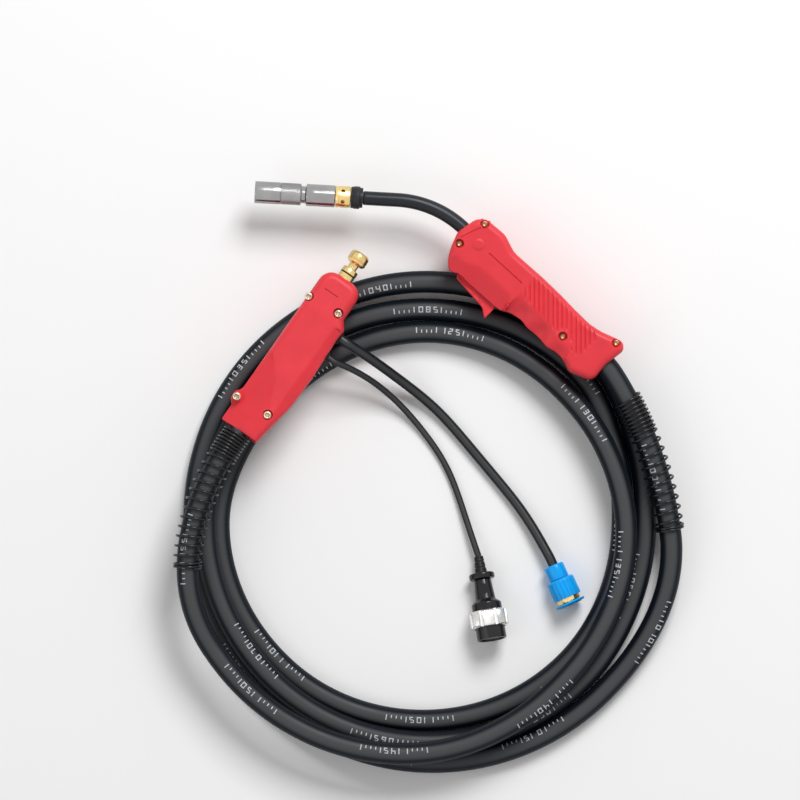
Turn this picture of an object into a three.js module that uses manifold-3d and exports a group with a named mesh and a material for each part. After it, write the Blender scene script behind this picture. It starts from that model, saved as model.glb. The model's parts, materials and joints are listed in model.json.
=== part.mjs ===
// A gas-shielded welding torch with its coiled cable, hoses and plugs, lying on a floor.
// Millimetres and degrees, +Z up. The origin is on the floor, at the middle of what the torch covers.
// The cable's coil is drawn about its own centre, and everything else is placed from there.

import * as THREE from "three";
import { mergeVertices } from "three/addons/utils/BufferGeometryUtils.js";
import Module from "manifold-3d";

const wasm = await Module();
wasm.setup();

// ---- Driving dimensions -------------------------------------------------------------------

const GAP = 0.3; // left between two pieces that touch
const SIDES = 20; // of a large turned piece
const SMALL_SIDES = 12; // of a small one

// Gas nozzle and what it holds, along its axis
const NOZZLE_LENGTH = 80;
const NOZZLE_RADIUS = 11;
const NOZZLE_BORE = 8;
const NOZZLE_GROOVE = 2.4; // depth of the neck behind the knurled band
const TIP_RECESS = 7;
const TIP_RADIUS = 4;
const TIP_LENGTH = 30;
const WIRE_BORE = 0.8;
const HOLDER_RADIUS = 5.7;
const HOLDER_LENGTH = 42;
const COLLAR_LENGTH = 15;
const COLLAR_RADIUS = 10.75;
const COLLAR_HOLES = 6;
const COLLAR_HOLE_RADIUS = 2;
const RING_LENGTH = 12;
const RING_RADIUS = 11.3;

// Swan neck
const NECK_RADIUS = 7;
const NECK_TUBE_RADIUS = 5;
const NECK_TUBE_BORE = 2.6;
const NECK_STRAIGHT = 34.6;
const NECK_BEND_RADIUS = 104;
const NECK_BEND = 40;
const LINER_RADIUS = 2;

// Handle, in its own frame: x runs back along the grip, y away from the trigger
const CABLE_RADIUS = 11;
const HANDLE_HALF = 19; // half of the thickness
const HANDLE_PLACE = [31, 294, 2 * CABLE_RADIUS + 1 + HANDLE_HALF]; // it lies on one turn of the cable
const HANDLE_TURN = -43.2;
const HANDLE_WALL = 3;
const HANDLE_ROUND = [8, 5]; // rise and inset of the rounded edge
const PARTING = 0.3; // between the two halves
const BLOCK = { from: 14, to: 40, half: 11 };
const LUG_RADIUS = 7;
const LUG_LENGTH = 26;
const CORE_RADIUS = 5;
const CABLE_START = 160;
const CLAMP_PLACE = 166;
const CLAMP_LENGTH = 8;
const TRIGGER_PIVOT = [31, -34];
const TRIGGER_HALF = 6.5;
const TRIGGER_RUN = 0.6; // side clearance
const TRIGGER_PIN = 1.5;
const PIN_HALF = 9.5;
const BAY_FLOOR = -25; // the cavity stops here, and solid plastic holds the pin
const SLANT = { from: 22, to: 84, start: -17, edge: -46, rise: 8 }; // face beside the trigger
const SWITCH = { from: 44, to: 64, low: -23.5, high: -12.5, half: 5 };
const PLUNGER = { at: 54, radius: 1.5, length: 7, travel: 2.4 };
const LEAD_RADIUS = 1.1;

// Cable and its springs
const CABLE_SIDES = 8;
const SPRING_BORE = CABLE_RADIUS + 0.9;
const SPRING_RADIUS = 15;
const SPRING_SLIP = 29; // how far the handle's spring has slid from the handle

// Connector housing, in its own frame: x runs from the cable to the plug
const HOUSING_PLACE = [-192, 92.5, 58];
const HOUSING_TURN = 55.2;
const HOUSING_TILT = 5;
const HOUSING_LENGTH = 184;
const HOUSING_HALF = 20;
const HOUSING_WALL = 3;
const HOUSING_ROUND = [9, 6];
const CABLE_END = 34; // how far the cable reaches inside
const FERRULE_RADIUS = 9;
const FERRULE_LENGTH = 30;
const CONDUIT_BLOCK = { from: 150, near: 7.5, far: 12 }; // reaches to each side, between the screws
const PLUG_RADIUS = 8.25;
const PLUG_FLANGE = { over: 3, length: 8 }; // inside the housing
const PLUG_BARREL = 12;
const PLUG_NECK_RADIUS = 4.8;
const PLUG_NECK = 6;
const PLUG_HEAD_RADIUS = 10;
const PLUG_HEAD = 13;
const PLUG_BORE = 1.6;
const HOSE_EXIT = 133; // along the housing
const LEAD_EXIT = 111;
const SIDE_FACE = 29; // the housing's side, from its axis
const GLAND_STANDS = 2;

// Gas hose and its fitting
const HOSE_RADIUS = 4.9;
const HOSE_SLEEVE = { radius: 10.2, length: 15 };
const NUT_COVER = { radius: 14.25, length: 20 };
const GAS_NUT_RADIUS = 11.8;
const GAS_NUT_SHOWS = 4.5;
const CAP = { radius: 15.5, length: 3.5, spigot: 8, depth: 10 };
const NIPPLE_BORE = 2.5;

// Control lead and its plug
const LEAD_CABLE_RADIUS = 3.2;
const BOOT = { radius: 6, length: 17 };
const FLANGE = { radius: 12.75, length: 6 };
const PLUG_SHELL = { small: 8.5, mid: 10, large: 15, taper: 20, shoulder: 5, barrel: 17 };
const LOCK_NUT = { radius: 19, bore: 15.6, length: 17, lobes: 8 };
const INSERT = { radius: 14.7, out: 12, pins: 5, circle: 8, hole: 1.6 };

// ---- Small tools --------------------------------------------------------------------------

const rad = THREE.MathUtils.degToRad;
const place = (x, y, z = 0) => new THREE.Vector3(x, y, z);

/** A manifold solid from a closed three.js geometry. */
function solid(geometry) {
  const bare = new THREE.BufferGeometry();
  bare.setAttribute("position", geometry.getAttribute("position"));
  bare.setIndex(geometry.index);
  const merged = mergeVertices(bare, 1e-4);
  const vertProperties = merged.getAttribute("position").array;
  const triVerts = new Uint32Array(merged.index.array);
  return new wasm.Manifold(new wasm.Mesh({ numProp: 3, vertProperties, triVerts }));
}

/** The three.js geometry of a manifold solid. */
function shapeOf(body) {
  const mesh = body.getMesh();
  const geometry = new THREE.BufferGeometry();
  geometry.setAttribute("position", new THREE.BufferAttribute(mesh.vertProperties, 3));
  geometry.setIndex(new THREE.BufferAttribute(mesh.triVerts, 1));
  return geometry;
}

/** Turned about +X from [along, radius] points, which start and end on the axis or go round. */
function turned(profile, sides = SMALL_SIDES) {
  const hollow = profile.every(([, radius]) => radius > 0);
  const points = profile.map(([along, radius]) => new THREE.Vector2(radius, along));
  if (THREE.ShapeUtils.area(points) < 0) points.reverse();
  if (hollow) points.push(points[0].clone());
  return new THREE.LatheGeometry(points, sides).rotateZ(-Math.PI / 2);
}

/** A ring about +X with a square section. */
const ring = (from, to, outer, inner, sides) =>
  turned([[from, inner], [to, inner], [to, outer], [from, outer]], sides);

/** A plain bar about +X. */
const bar = (from, to, radius, sides) =>
  turned([[from, 0], [from, radius], [to, radius], [to, 0]], sides);

/** A cylinder along +Z at (x, y). */
const peg = (x, y, radius, low, high, sides = SMALL_SIDES) =>
  bar(low, high, radius, sides).rotateY(-Math.PI / 2).translate(x, y, 0);

/** A box from its lowest to its highest corner. */
function block(low, high) {
  const size = high.map((value, axis) => value - low[axis]);
  const centre = high.map((value, axis) => (value + low[axis]) / 2);
  return new THREE.BoxGeometry(...size).translate(...centre);
}

/** A flat outline from [x, y] points. */
const outlineOf = (points) => new THREE.Shape(points.map(([x, y]) => new THREE.Vector2(x, y)));

/** A slab of an outline, centred on z = 0, with rounded edges or pulled in by a wall. */
function slab(outline, half, [rise, inset], pull = 0) {
  const depth = 2 * (half - rise);
  return new THREE.ExtrudeGeometry(outline, {
    depth,
    bevelThickness: rise,
    bevelSize: inset,
    bevelOffset: -inset - pull,
    bevelSegments: inset > 0 ? 3 : 1,
    curveSegments: 6,
  }).translate(0, 0, -depth / 2);
}

/** A curve that reaches its points at equal steps, so that a tube's rings stand on them. */
class Route extends THREE.CatmullRomCurve3 {
  getPointAt(share, target) {
    return this.getPoint(share, target);
  }

  getTangentAt(share, target) {
    return this.getTangent(share, target);
  }
}

/** A round section with as many sides, and a hole if it has an inner radius. */
function roundSection(radius, sides, inner = 0) {
  const circle = (size) =>
    Array.from({ length: sides }, (_, side) => {
      const angle = (2 * Math.PI * side) / sides;
      return new THREE.Vector2(size * Math.cos(angle), size * Math.sin(angle));
    });
  const section = new THREE.Shape(circle(radius));
  if (inner > 0) section.holes.push(new THREE.Path(circle(inner)));
  return section;
}

/** A tube along points, with a ring at each. */
function tube(points, radius, sides = 8, inner = 0) {
  return new THREE.ExtrudeGeometry(roundSection(radius, sides, inner), {
    steps: points.length - 1,
    extrudePath: new Route(points, false, "centripetal"),
  });
}

/** Points along a smooth line through hand-chosen ones, a given step apart. */
function spaced(points, step) {
  const line = new THREE.CatmullRomCurve3(points, false, "centripetal");
  return line.getSpacedPoints(Math.round(line.getLength() / step));
}

const FINISHES = {
  chrome: [0xd8d9dc, 0.16, 1],
  brass: [0xd2a24a, 0.3, 1],
  copper: [0xb8693c, 0.35, 1],
  nickel: [0xbfb9ac, 0.3, 1],
  steel: [0x9a9a9c, 0.4, 1],
  black_steel: [0x1b1b1d, 0.45, 0.8],
  red_shell: [0xe83c48, 0.5, 0],
  black_plastic: [0x17181a, 0.5, 0],
  black_rubber: [0x24272c, 0.6, 0],
  blue_plastic: [0x1489e0, 0.4, 0],
  insulator: [0xd9cfb4, 0.7, 0],
};

/** A named sub-part. */
function part(name, geometry, finish) {
  const [color, roughness, metalness] = FINISHES[finish];
  const material = new THREE.MeshStandardMaterial({ color, roughness, metalness, name: finish });
  const mesh = new THREE.Mesh(geometry, material);
  mesh.name = name;
  return mesh;
}

/** A group placed, turned about Z and then tipped nose down. */
function frameAt([x, y, z], turn, tilt = 0) {
  const frame = new THREE.Group();
  frame.position.set(x, y, z);
  frame.rotation.set(0, rad(tilt), rad(turn), "ZYX");
  frame.updateMatrix();
  return frame;
}

/** Where a point of a frame is, and where a direction of it points. */
const fromFrame = (frame, x, y, z = 0) => place(x, y, z).applyMatrix4(frame.matrix);
const along = (frame, x, y, z = 0) =>
  place(x, y, z).applyEuler(frame.rotation).normalize();

// ---- Screws -------------------------------------------------------------------------------

/** A pan-head screw pointing down, with its head's underside at z = 0. */
function screwShape({ head, rise, shank, length }) {
  return turned([
    [rise, 0],
    [rise, head * 0.75],
    [rise * 0.4, head],
    [0, head],
    [0, shank],
    [-length + shank, shank],
    [-length, 0],
  ], 10).rotateY(-Math.PI / 2);
}

/** What a screw takes away from a shell: its recess and its hole. */
function screwRoom(x, y, { head, seat, half, shank, length, room }) {
  const recess = solid(peg(x, y, head + room, seat, half + 1, 12));
  return recess.add(solid(peg(x, y, shank + GAP, seat - length - GAP, seat + 1, 10)));
}

const HANDLE_SCREW = { head: 3.15, rise: 2.4, shank: 1.6, length: 26, room: 1.35, seat: 13, boss: 5.6 };
const HANDLE_SCREWS = [[12.9, 17.1], [7.8, -14.1], [145.7, -11.1], [188.9, 20.4]];
const HOUSING_SCREW = { head: 4, rise: 3, shank: 1.8, length: 28, room: 0.8, seat: 15 };
const HOUSING_SCREWS = [[148.3, 19, 4.2], [25.7, 21, 4.2], [150.8, -14.6, 6.2], [27.8, -14.7, 6.2]];

// ---- Front end: nozzle, tip, collar and neck ------------------------------------------------

/** Where things stand along the front end's axis, counted forward from the neck's end. */
const ringFront = RING_LENGTH;
const collarFront = ringFront + GAP + COLLAR_LENGTH;
const nozzleRear = collarFront + GAP;
const nozzleTip = nozzleRear + NOZZLE_LENGTH;
const tipEnd = nozzleTip - TIP_RECESS;
const tipRear = tipEnd - TIP_LENGTH;
const holderFront = tipRear - GAP;
const holderRear = holderFront - HOLDER_LENGTH;

function gasNozzle() {
  const grooveRear = nozzleRear + 29;
  const grooveFront = grooveRear + 5;
  const bandFront = grooveFront + 20;
  const waist = NOZZLE_RADIUS - NOZZLE_GROOVE;
  return turned([
    [nozzleRear, NOZZLE_BORE],
    [nozzleTip, NOZZLE_BORE],
    [nozzleTip, NOZZLE_RADIUS - 0.6],
    [nozzleTip - 0.6, NOZZLE_RADIUS],
    [bandFront + 1, NOZZLE_RADIUS],
    [bandFront, NOZZLE_RADIUS - 0.5],
    [grooveFront, NOZZLE_RADIUS - 0.5],
    [grooveFront - 1, waist],
    [grooveRear + 1, waist],
    [grooveRear, NOZZLE_RADIUS],
    [nozzleRear, NOZZLE_RADIUS],
  ], SIDES);
}

function contactTip() {
  return turned([
    [tipRear, WIRE_BORE],
    [tipEnd, WIRE_BORE],
    [tipEnd, TIP_RADIUS * 0.6],
    [tipEnd - 4, TIP_RADIUS],
    [tipRear, TIP_RADIUS],
  ]);
}

function tipHolder() {
  const bore = LINER_RADIUS + GAP;
  const body = turned([
    [holderRear, bore],
    [holderFront, bore],
    [holderFront, TIP_RADIUS + 0.6],
    [holderFront - 3, HOLDER_RADIUS],
    [holderRear, HOLDER_RADIUS],
  ]);
  const hole = peg(holderFront - 6, 0, 1, -HOLDER_RADIUS - 1, HOLDER_RADIUS + 1, 6);
  const crossed = solid(hole).add(solid(hole.clone().rotateX(Math.PI / 2)));
  return shapeOf(solid(body).subtract(crossed));
}

/** The ring behind the nozzle, with gas holes all round. */
function neckCollar() {
  let body = solid(ring(ringFront + GAP, collarFront, COLLAR_RADIUS, NECK_TUBE_RADIUS + GAP, SIDES));
  const middle = (ringFront + GAP + collarFront) / 2;
  const bottom = NECK_TUBE_RADIUS + 1.5;
  const hole = peg(middle, 0, COLLAR_HOLE_RADIUS, bottom, COLLAR_RADIUS + 1, 8);
  for (let number = 0; number < COLLAR_HOLES; number++) {
    const turn = rad(30 + (360 / COLLAR_HOLES) * number);
    body = body.subtract(solid(hole.clone().rotateX(turn)));
  }
  return shapeOf(body);
}

/** The neck's centreline from inside the handle to its front end, in the handle's frame. */
function neckLine(from, to) {
  const points = [place(from, 0)];
  if (from > 1) points.push(place(from / 2, 0));
  const steps = 8;
  for (let step = 0; step <= steps; step++) {
    const angle = rad((NECK_BEND * step) / steps);
    const x = -NECK_BEND_RADIUS * Math.sin(angle);
    const y = -NECK_BEND_RADIUS * (1 - Math.cos(angle));
    points.push(place(x, y));
  }
  for (const length of [NECK_STRAIGHT / 2, NECK_STRAIGHT + to]) points.push(neckEnd(length));
  return points;
}

/** A point on the straight front stretch of the neck, in the handle's frame. */
function neckEnd(length) {
  const bend = rad(NECK_BEND);
  const x = -NECK_BEND_RADIUS * Math.sin(bend) - length * Math.cos(bend);
  const y = -NECK_BEND_RADIUS * (1 - Math.cos(bend)) - length * Math.sin(bend);
  return place(x, y);
}

function addFrontEnd(handle) {
  const front = new THREE.Group();
  front.position.copy(neckEnd(NECK_STRAIGHT));
  front.rotation.z = Math.PI + rad(NECK_BEND);
  const tubeRing = NECK_TUBE_RADIUS + GAP;
  const insulatorFront = holderFront - 9;
  front.add(
    part("gas_nozzle", gasNozzle(), "chrome"),
    part("contact_tip", contactTip(), "copper"),
    part("tip_holder", tipHolder(), "brass"),
    part(
      "nozzle_insulator",
      ring(nozzleRear, insulatorFront, NOZZLE_BORE - GAP, HOLDER_RADIUS + GAP, SIDES),
      "insulator",
    ),
    part("neck_collar", neckCollar(), "brass"),
    part("insulating_ring", ring(0, ringFront, RING_RADIUS, tubeRing, SIDES), "black_plastic"),
  );
  handle.add(front);

  const sleeveRear = BLOCK.from - GAP;
  const neckTubeFront = holderRear - GAP;
  const linerLine = [place(CABLE_START - GAP, 0), place(90, 0), ...neckLine(BLOCK.to, holderFront)];
  handle.add(
    part("neck_sleeve", tube(neckLine(sleeveRear, -GAP), NECK_RADIUS, 12, tubeRing), "black_plastic"),
    part(
      "neck_tube",
      tube(neckLine(BLOCK.to - 1, neckTubeFront), NECK_TUBE_RADIUS, 8, NECK_TUBE_BORE),
      "copper",
    ),
    part("wire_liner", tube(linerLine, LINER_RADIUS, 6), "steel"),
  );
}

// ---- Handle --------------------------------------------------------------------------------

const HANDLE_OUTLINE = [
  [-1.5, -7], [1, -14], [4.4, -23.5], [10, -33.5], [17.3, -40.2],
  [29, -38.5], [82, -36], [91, -29.5], [105, -27], [113, -29], [123, -28], [132, -28], [141, -30],
  [150, -27], [159, -27], [166, -29], [174, -32.5], [182, -29.7], [194, -25], [197.5, -19.5],
  [196, -3], [199.7, 20], [193.5, 25.8], [184.5, 23.4], [170, 18.4], [157, 16.2], [137, 16.5],
  [116, 17.6], [92, 17.9], [54, 16.7], [46, 19.4], [35, 23.4], [11, 22], [3.2, 15],
];

/** The room inside the handle, less the bosses and posts that stand in it. */
function handleRoom() {
  const depth = HANDLE_HALF - HANDLE_WALL;
  const outline = outlineOf(HANDLE_OUTLINE);
  let room = solid(slab(outline, depth, [1, 0], HANDLE_WALL));
  room = room.subtract(solid(block([-10, -60, -30], [86, BAY_FLOOR, 30])));
  for (const [x, y] of HANDLE_SCREWS) {
    room = room.subtract(solid(peg(x, y, HANDLE_SCREW.boss, -depth - 1, depth + 1)));
  }
  const post = SWITCH.half + GAP;
  for (const side of [1, -1]) {
    const [low, high] = side > 0 ? [post, depth + 1] : [-depth - 1, -post];
    room = room.subtract(
      solid(block([SWITCH.from + 3, BAY_FLOOR - 1, low], [SWITCH.to - 3, SWITCH.high - 1, high])),
    );
  }
  return room;
}

/** What the slanted face on the trigger's side takes away, above (1) or below (-1). */
function handleSlant(side) {
  const { from, to, start, edge, rise } = SLANT;
  const top = side * (HANDLE_HALF + 0.5);
  const far = side * 2 * HANDLE_HALF;
  const section = outlineOf([[start, top], [edge, side * rise], [edge, far], [start, far]]);
  const prism = new THREE.ExtrudeGeometry(section, { depth: to - from, bevelEnabled: false });
  return solid(prism.rotateX(Math.PI / 2).rotateZ(Math.PI / 2).translate(from, 0, 0));
}

/** Both halves of the handle, before the cable's way is cut. */
function handleBody(cableWay) {
  let body = solid(slab(outlineOf(HANDLE_OUTLINE), HANDLE_HALF, HANDLE_ROUND));
  const [pivotX, pivotY] = TRIGGER_PIVOT;
  const slotHalf = TRIGGER_HALF + TRIGGER_RUN;
  const pinHole = peg(pivotX, pivotY, TRIGGER_PIN + GAP, -PIN_HALF - GAP, PIN_HALF + GAP);
  const cuts = [
    solid(bar(-10, 12, NECK_RADIUS + GAP, 12)),
    solid(block([24.5, -60, -slotHalf], [79.5, BAY_FLOOR + 1, slotHalf])),
    solid(pinHole),
    solid(bar(CLAMP_PLACE - GAP, CLAMP_PLACE + CLAMP_LENGTH + GAP, HANDLE_HALF - HANDLE_WALL, 16)),
    cableWay,
    handleSlant(1),
    handleSlant(-1),
  ];
  for (const cut of cuts) body = body.subtract(cut);
  body = body.subtract(handleRoom());
  for (const [x, y] of HANDLE_SCREWS) {
    body = body.subtract(screwRoom(x, y, { ...HANDLE_SCREW, half: HANDLE_HALF }));
  }
  const button = solid(peg(22.4, -1.7, 6, HANDLE_HALF - 1, HANDLE_HALF + 1.2, 16));
  return body.add(button);
}

/** The upper or the lower half of a body. */
function halfOf(body, side) {
  const far = 400;
  const [low, high] = side > 0 ? [PARTING / 2, far] : [-far, -PARTING / 2];
  return shapeOf(body.intersect(solid(block([-far, -far, low], [far, far, high]))));
}

/** The trigger's blade, seen from above: boss, outer edge, flared end and the nose at the switch. */
function triggerShape() {
  const [pivotX, pivotY] = TRIGGER_PIVOT;
  const nose = SWITCH.low - 4;
  const blade = outlineOf([
    [pivotX - 4, pivotY - 2],
    [pivotX - 2, pivotY - 7.2],
    [67.5, -44.8],
    [77, -51.6],
    [77.4, -37.5],
    [74, -31.5],
    [PLUNGER.at + 8, nose - 2.5],
    [PLUNGER.at + 4, nose],
    [PLUNGER.at - 4, nose],
    [PLUNGER.at - 8, nose - 2.5],
    [pivotX, pivotY + 4],
    [pivotX - 4, pivotY + 2],
  ]);
  const body = new THREE.ExtrudeGeometry(blade, { depth: 2 * TRIGGER_HALF, bevelEnabled: false });
  body.translate(0, 0, -TRIGGER_HALF);
  const hole = peg(pivotX, pivotY, TRIGGER_PIN + GAP, -TRIGGER_HALF - 1, TRIGGER_HALF + 1);
  const springWay = block([pivotX - 6, pivotY - 3.6, -2], [pivotX + 9, pivotY + 6, 2]);
  return shapeOf(solid(body).subtract(solid(hole)).subtract(solid(springWay)));
}

/** The trigger's return spring: turns about the pin, with a leg along the blade. */
function triggerSpring() {
  const [pivotX, pivotY] = TRIGGER_PIVOT;
  const half = 1.6;
  const inner = TRIGGER_PIN + GAP;
  const coil = solid(peg(0, 0, inner + 1.2, -half, half));
  const leg = solid(block([0, -inner - 1.2, -half], [8.6, -inner - 0.2, -half + 1.2]));
  const body = coil.add(leg).subtract(solid(peg(0, 0, inner, -half - 1, half + 1)));
  return shapeOf(body).translate(pivotX, pivotY, 0);
}

function switchBody() {
  const { from, to, low, high, half } = SWITCH;
  const body = solid(block([from, low, -half], [to, high, half]));
  const depth = PLUNGER.length + PLUNGER.travel - 4 + 2 * GAP;
  const hole = bar(low - 1, low + depth, PLUNGER.radius + GAP, 8).rotateZ(Math.PI / 2);
  return shapeOf(body.subtract(solid(hole.translate(PLUNGER.at, 0, 0))));
}

function plungerShape() {
  const low = SWITCH.low - 4 + GAP;
  const rod = bar(low, low + PLUNGER.length, PLUNGER.radius, 8).rotateZ(Math.PI / 2);
  return rod.translate(PLUNGER.at, 0, 0);
}

function switchLead(side) {
  const middle = (SWITCH.low + SWITCH.high) / 2;
  const start = SWITCH.to + GAP;
  const across = side * 2.6;
  const points = [
    [start, middle, across],
    [start + 10, middle, across],
    [start + 30, middle + 4, across],
    [118, -9.5, across],
    [136, -5, side * 9],
    [150, -3, side * 9],
    [CABLE_START - GAP, -2, side * 9],
  ].map((point) => place(...point));
  return tube(points, LEAD_RADIUS, 6);
}

function neckBlock() {
  const deep = HANDLE_HALF - HANDLE_WALL - GAP;
  const body = solid(block([BLOCK.from, -BLOCK.half, -deep], [BLOCK.to, BLOCK.half, deep]));
  const bore = bar(BLOCK.from - 1, BLOCK.to + 1, NECK_TUBE_RADIUS + GAP, 8);
  return shapeOf(body.subtract(solid(bore)));
}

function addHandle(handle, cableWay) {
  const body = handleBody(cableWay);
  handle.add(
    part("handle_shell_upper", halfOf(body, 1), "red_shell"),
    part("handle_shell_lower", halfOf(body, -1), "red_shell"),
  );
  HANDLE_SCREWS.forEach(([x, y], number) => {
    const screw = screwShape(HANDLE_SCREW).translate(x, y, HANDLE_SCREW.seat + GAP);
    handle.add(part(`handle_screw_${number + 1}`, screw, "brass"));
  });
  const [pivotX, pivotY] = TRIGGER_PIVOT;
  const lugFront = BLOCK.to + GAP;
  const lugRear = lugFront + LUG_LENGTH;
  const coreBore = LINER_RADIUS + GAP;
  const clampRadius = HANDLE_HALF - HANDLE_WALL - GAP;
  handle.add(
    part("trigger", triggerShape(), "red_shell"),
    part("trigger_pin", peg(pivotX, pivotY, TRIGGER_PIN, -PIN_HALF, PIN_HALF, 10), "steel"),
    part("trigger_spring", triggerSpring(), "steel"),
    part("switch_body", switchBody(), "black_plastic"),
    part("switch_plunger", plungerShape(), "blue_plastic"),
    part("switch_lead_1", switchLead(1), "black_rubber"),
    part("switch_lead_2", switchLead(-1), "black_rubber"),
    part("neck_block", neckBlock(), "brass"),
    part("cable_lug", ring(lugFront, lugRear, LUG_RADIUS, coreBore, SMALL_SIDES), "copper"),
    part(
      "cable_core",
      ring(lugRear + GAP, CABLE_START - GAP, CORE_RADIUS, coreBore, SMALL_SIDES),
      "black_rubber",
    ),
    part(
      "cable_clamp",
      ring(CLAMP_PLACE, CLAMP_PLACE + CLAMP_LENGTH, clampRadius, CABLE_RADIUS + GAP, 16),
      "steel",
    ),
  );
}

// ---- Main cable ------------------------------------------------------------------------------

// Bend behind the handle: a flat arc in a tipped plane, which the loose spring can follow.
const BEND_START = [177.8, 151.3, HANDLE_PLACE[2] - 0.7];
const BEND_HEADING = -57;
const BEND_DROP = 3; // slope at its start
const BEND_LEAN = 9; // of its plane
const BEND_RADIUS = 390;
const BEND_LENGTH = 172;
const BEND_STEPS = 6;

// The coil: degrees turned clockwise from the handle, distance from the middle, height.
const TURN_START = 43;
const COIL = [
  [88, 239.5, 11], [133, 238.5, 11], [178, 238, 11], [223, 237.5, 11], [268, 242, 11],
  [313, 241, 11], [358, 232, 11], [380, 220, 11], [392, 215.7, 11], [403, 213.2, 11],
  [425, 213.5, 11.5], [448, 216.4, 13.5], [493, 218.2, 21.6], [538, 222.5, 27], [583, 225.5, 30.5],
  [606, 222.5, 27], [628, 218.6, 13.5], [651, 216.5, 11], [673, 213.5, 11], [718, 208.5, 11],
  [740, 197.5, 11], [763, 190.3, 11], [808, 193, 11], [853, 197, 11], [898, 206, 11],
  [943, 213, 11], [966, 205, 11], [988, 195.6, 11], [1033, 191, 11], [1055, 188.5, 16],
  [1078, 186.5, 24], [1100, 188.5, 32], [1123, 193, 34], [1168, 202, 36.5], [1190, 213, 41],
  [1213, 227, 43.5], [1236, 238, 44.5], [1258, 246.5, 45.5], [1273, 251, 47],
];
const COIL_STEP = 360 / 22;

// Where the cable joins the coil, and where it leaves it: how far each end's direction carries.
const JOIN_STEPS = 3;
const JOIN_REACH = 62;
const LEAVE_STEPS = 8;
const LEAVE_REACH = 80;
const LEAVE_RISE = 9; // over that reach
const LEAVE_STRAIGHT = 8; // before the housing
const SPRING_STEPS = 6; // of those that leave, counted from the housing

/** The value of a table's column between its rows, smoothly. */
function tableAt(rows, column, key) {
  const last = rows.length - 2;
  const found = rows.findIndex((row, number) => number > 0 && key <= row[0]) - 1;
  const index = Math.max(0, found < 0 ? last : found);
  const slope = (number) => {
    const before = rows[Math.max(number - 1, 0)];
    const after = rows[Math.min(number + 1, rows.length - 1)];
    return (after[column] - before[column]) / (after[0] - before[0]);
  };
  const [a, b] = [rows[index], rows[index + 1]];
  const width = b[0] - a[0];
  const t = (key - a[0]) / width;
  const curve = [
    (1 + 2 * t) * (1 - t) ** 2 * a[column],
    t * (1 - t) ** 2 * width * slope(index),
    t * t * (3 - 2 * t) * b[column],
    t * t * (t - 1) * width * slope(index + 1),
  ];
  return curve.reduce((sum, value) => sum + value, 0);
}

/** A point of the coil after so many degrees clockwise. */
function coilPoint(turn) {
  const angle = rad(TURN_START - turn);
  const radius = tableAt(COIL, 1, turn);
  const height = Math.max(tableAt(COIL, 2, turn), CABLE_RADIUS);
  return place(radius * Math.cos(angle), radius * Math.sin(angle), height);
}

/** Unit vectors of the bend behind the handle: along it, towards its centre, and its axis. */
function bendFrame() {
  const heading = rad(BEND_HEADING);
  const drop = rad(BEND_DROP);
  const lean = rad(BEND_LEAN);
  const forward = place(Math.cos(heading), Math.sin(heading)).multiplyScalar(Math.cos(drop));
  forward.z = -Math.sin(drop);
  const flat = place(Math.sin(heading), -Math.cos(heading));
  const inward = flat.multiplyScalar(Math.cos(lean)).add(place(0, 0, -Math.sin(lean)));
  inward.addScaledVector(forward, -inward.dot(forward)).normalize();
  return { forward, inward, axis: forward.clone().cross(inward) };
}

/** A point of that bend, at a length along it. */
function bendPoint(length) {
  const { forward, inward } = bendFrame();
  const angle = length / BEND_RADIUS;
  return place(...BEND_START)
    .addScaledVector(forward, BEND_RADIUS * Math.sin(angle))
    .addScaledVector(inward, BEND_RADIUS * (1 - Math.cos(angle)));
}

/** Points of the bend between two lengths, ends included. */
function bendLine(from, to, steps) {
  const share = (to - from) / steps;
  return Array.from({ length: steps + 1 }, (_, step) => bendPoint(from + share * step));
}

/** Which way the coil runs at one of its points, on the level. */
function coilHeading(turn) {
  return coilPoint(turn + 1).sub(coilPoint(turn - 1)).setZ(0).normalize();
}

/** Points along a bend that is drawn by its ends and its ends' directions, ends included. */
function blend(start, startWay, end, endWay, reach, steps) {
  const first = start.clone().addScaledVector(startWay, reach);
  const second = end.clone().addScaledVector(endWay, -reach);
  return new THREE.CubicBezierCurve3(start, first, second, end).getSpacedPoints(steps);
}

/** From the bend behind the handle down to the coil's first row. */
function joinLine() {
  const start = bendPoint(BEND_LENGTH);
  const way = start.clone().sub(bendPoint(BEND_LENGTH - 1)).normalize();
  const turn = COIL[0][0];
  return blend(start, way, coilPoint(turn), coilHeading(turn), JOIN_REACH, JOIN_STEPS);
}

/** From the coil's last row up and into the connector housing. */
function leaveLine(housing) {
  const turn = COIL.at(-1)[0];
  const way = coilHeading(turn - 1).setZ(LEAVE_RISE / LEAVE_REACH);
  const end = fromFrame(housing, -LEAVE_STRAIGHT, 0);
  const bend = blend(coilPoint(turn), way, end, along(housing, 1, 0), LEAVE_REACH, LEAVE_STEPS);
  return [...bend, fromFrame(housing, -GAP, 0)];
}

/** The whole cable's centreline, from inside the handle to inside the connector housing. */
function cableLine(handle, housing) {
  const points = [CABLE_START, CABLE_START + 8, CABLE_START + 15].map((x) => fromFrame(handle, x, 0));
  points.push(...bendLine(0, BEND_LENGTH, BEND_STEPS), ...joinLine().slice(1));
  const [first, last] = [COIL[0][0], COIL.at(-1)[0]];
  const steps = Math.round((last - first) / COIL_STEP);
  for (let step = 1; step < steps; step++) {
    points.push(coilPoint(first + ((last - first) * step) / steps));
  }
  points.push(...leaveLine(housing), fromFrame(housing, CABLE_END, 0));
  return points;
}

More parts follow.
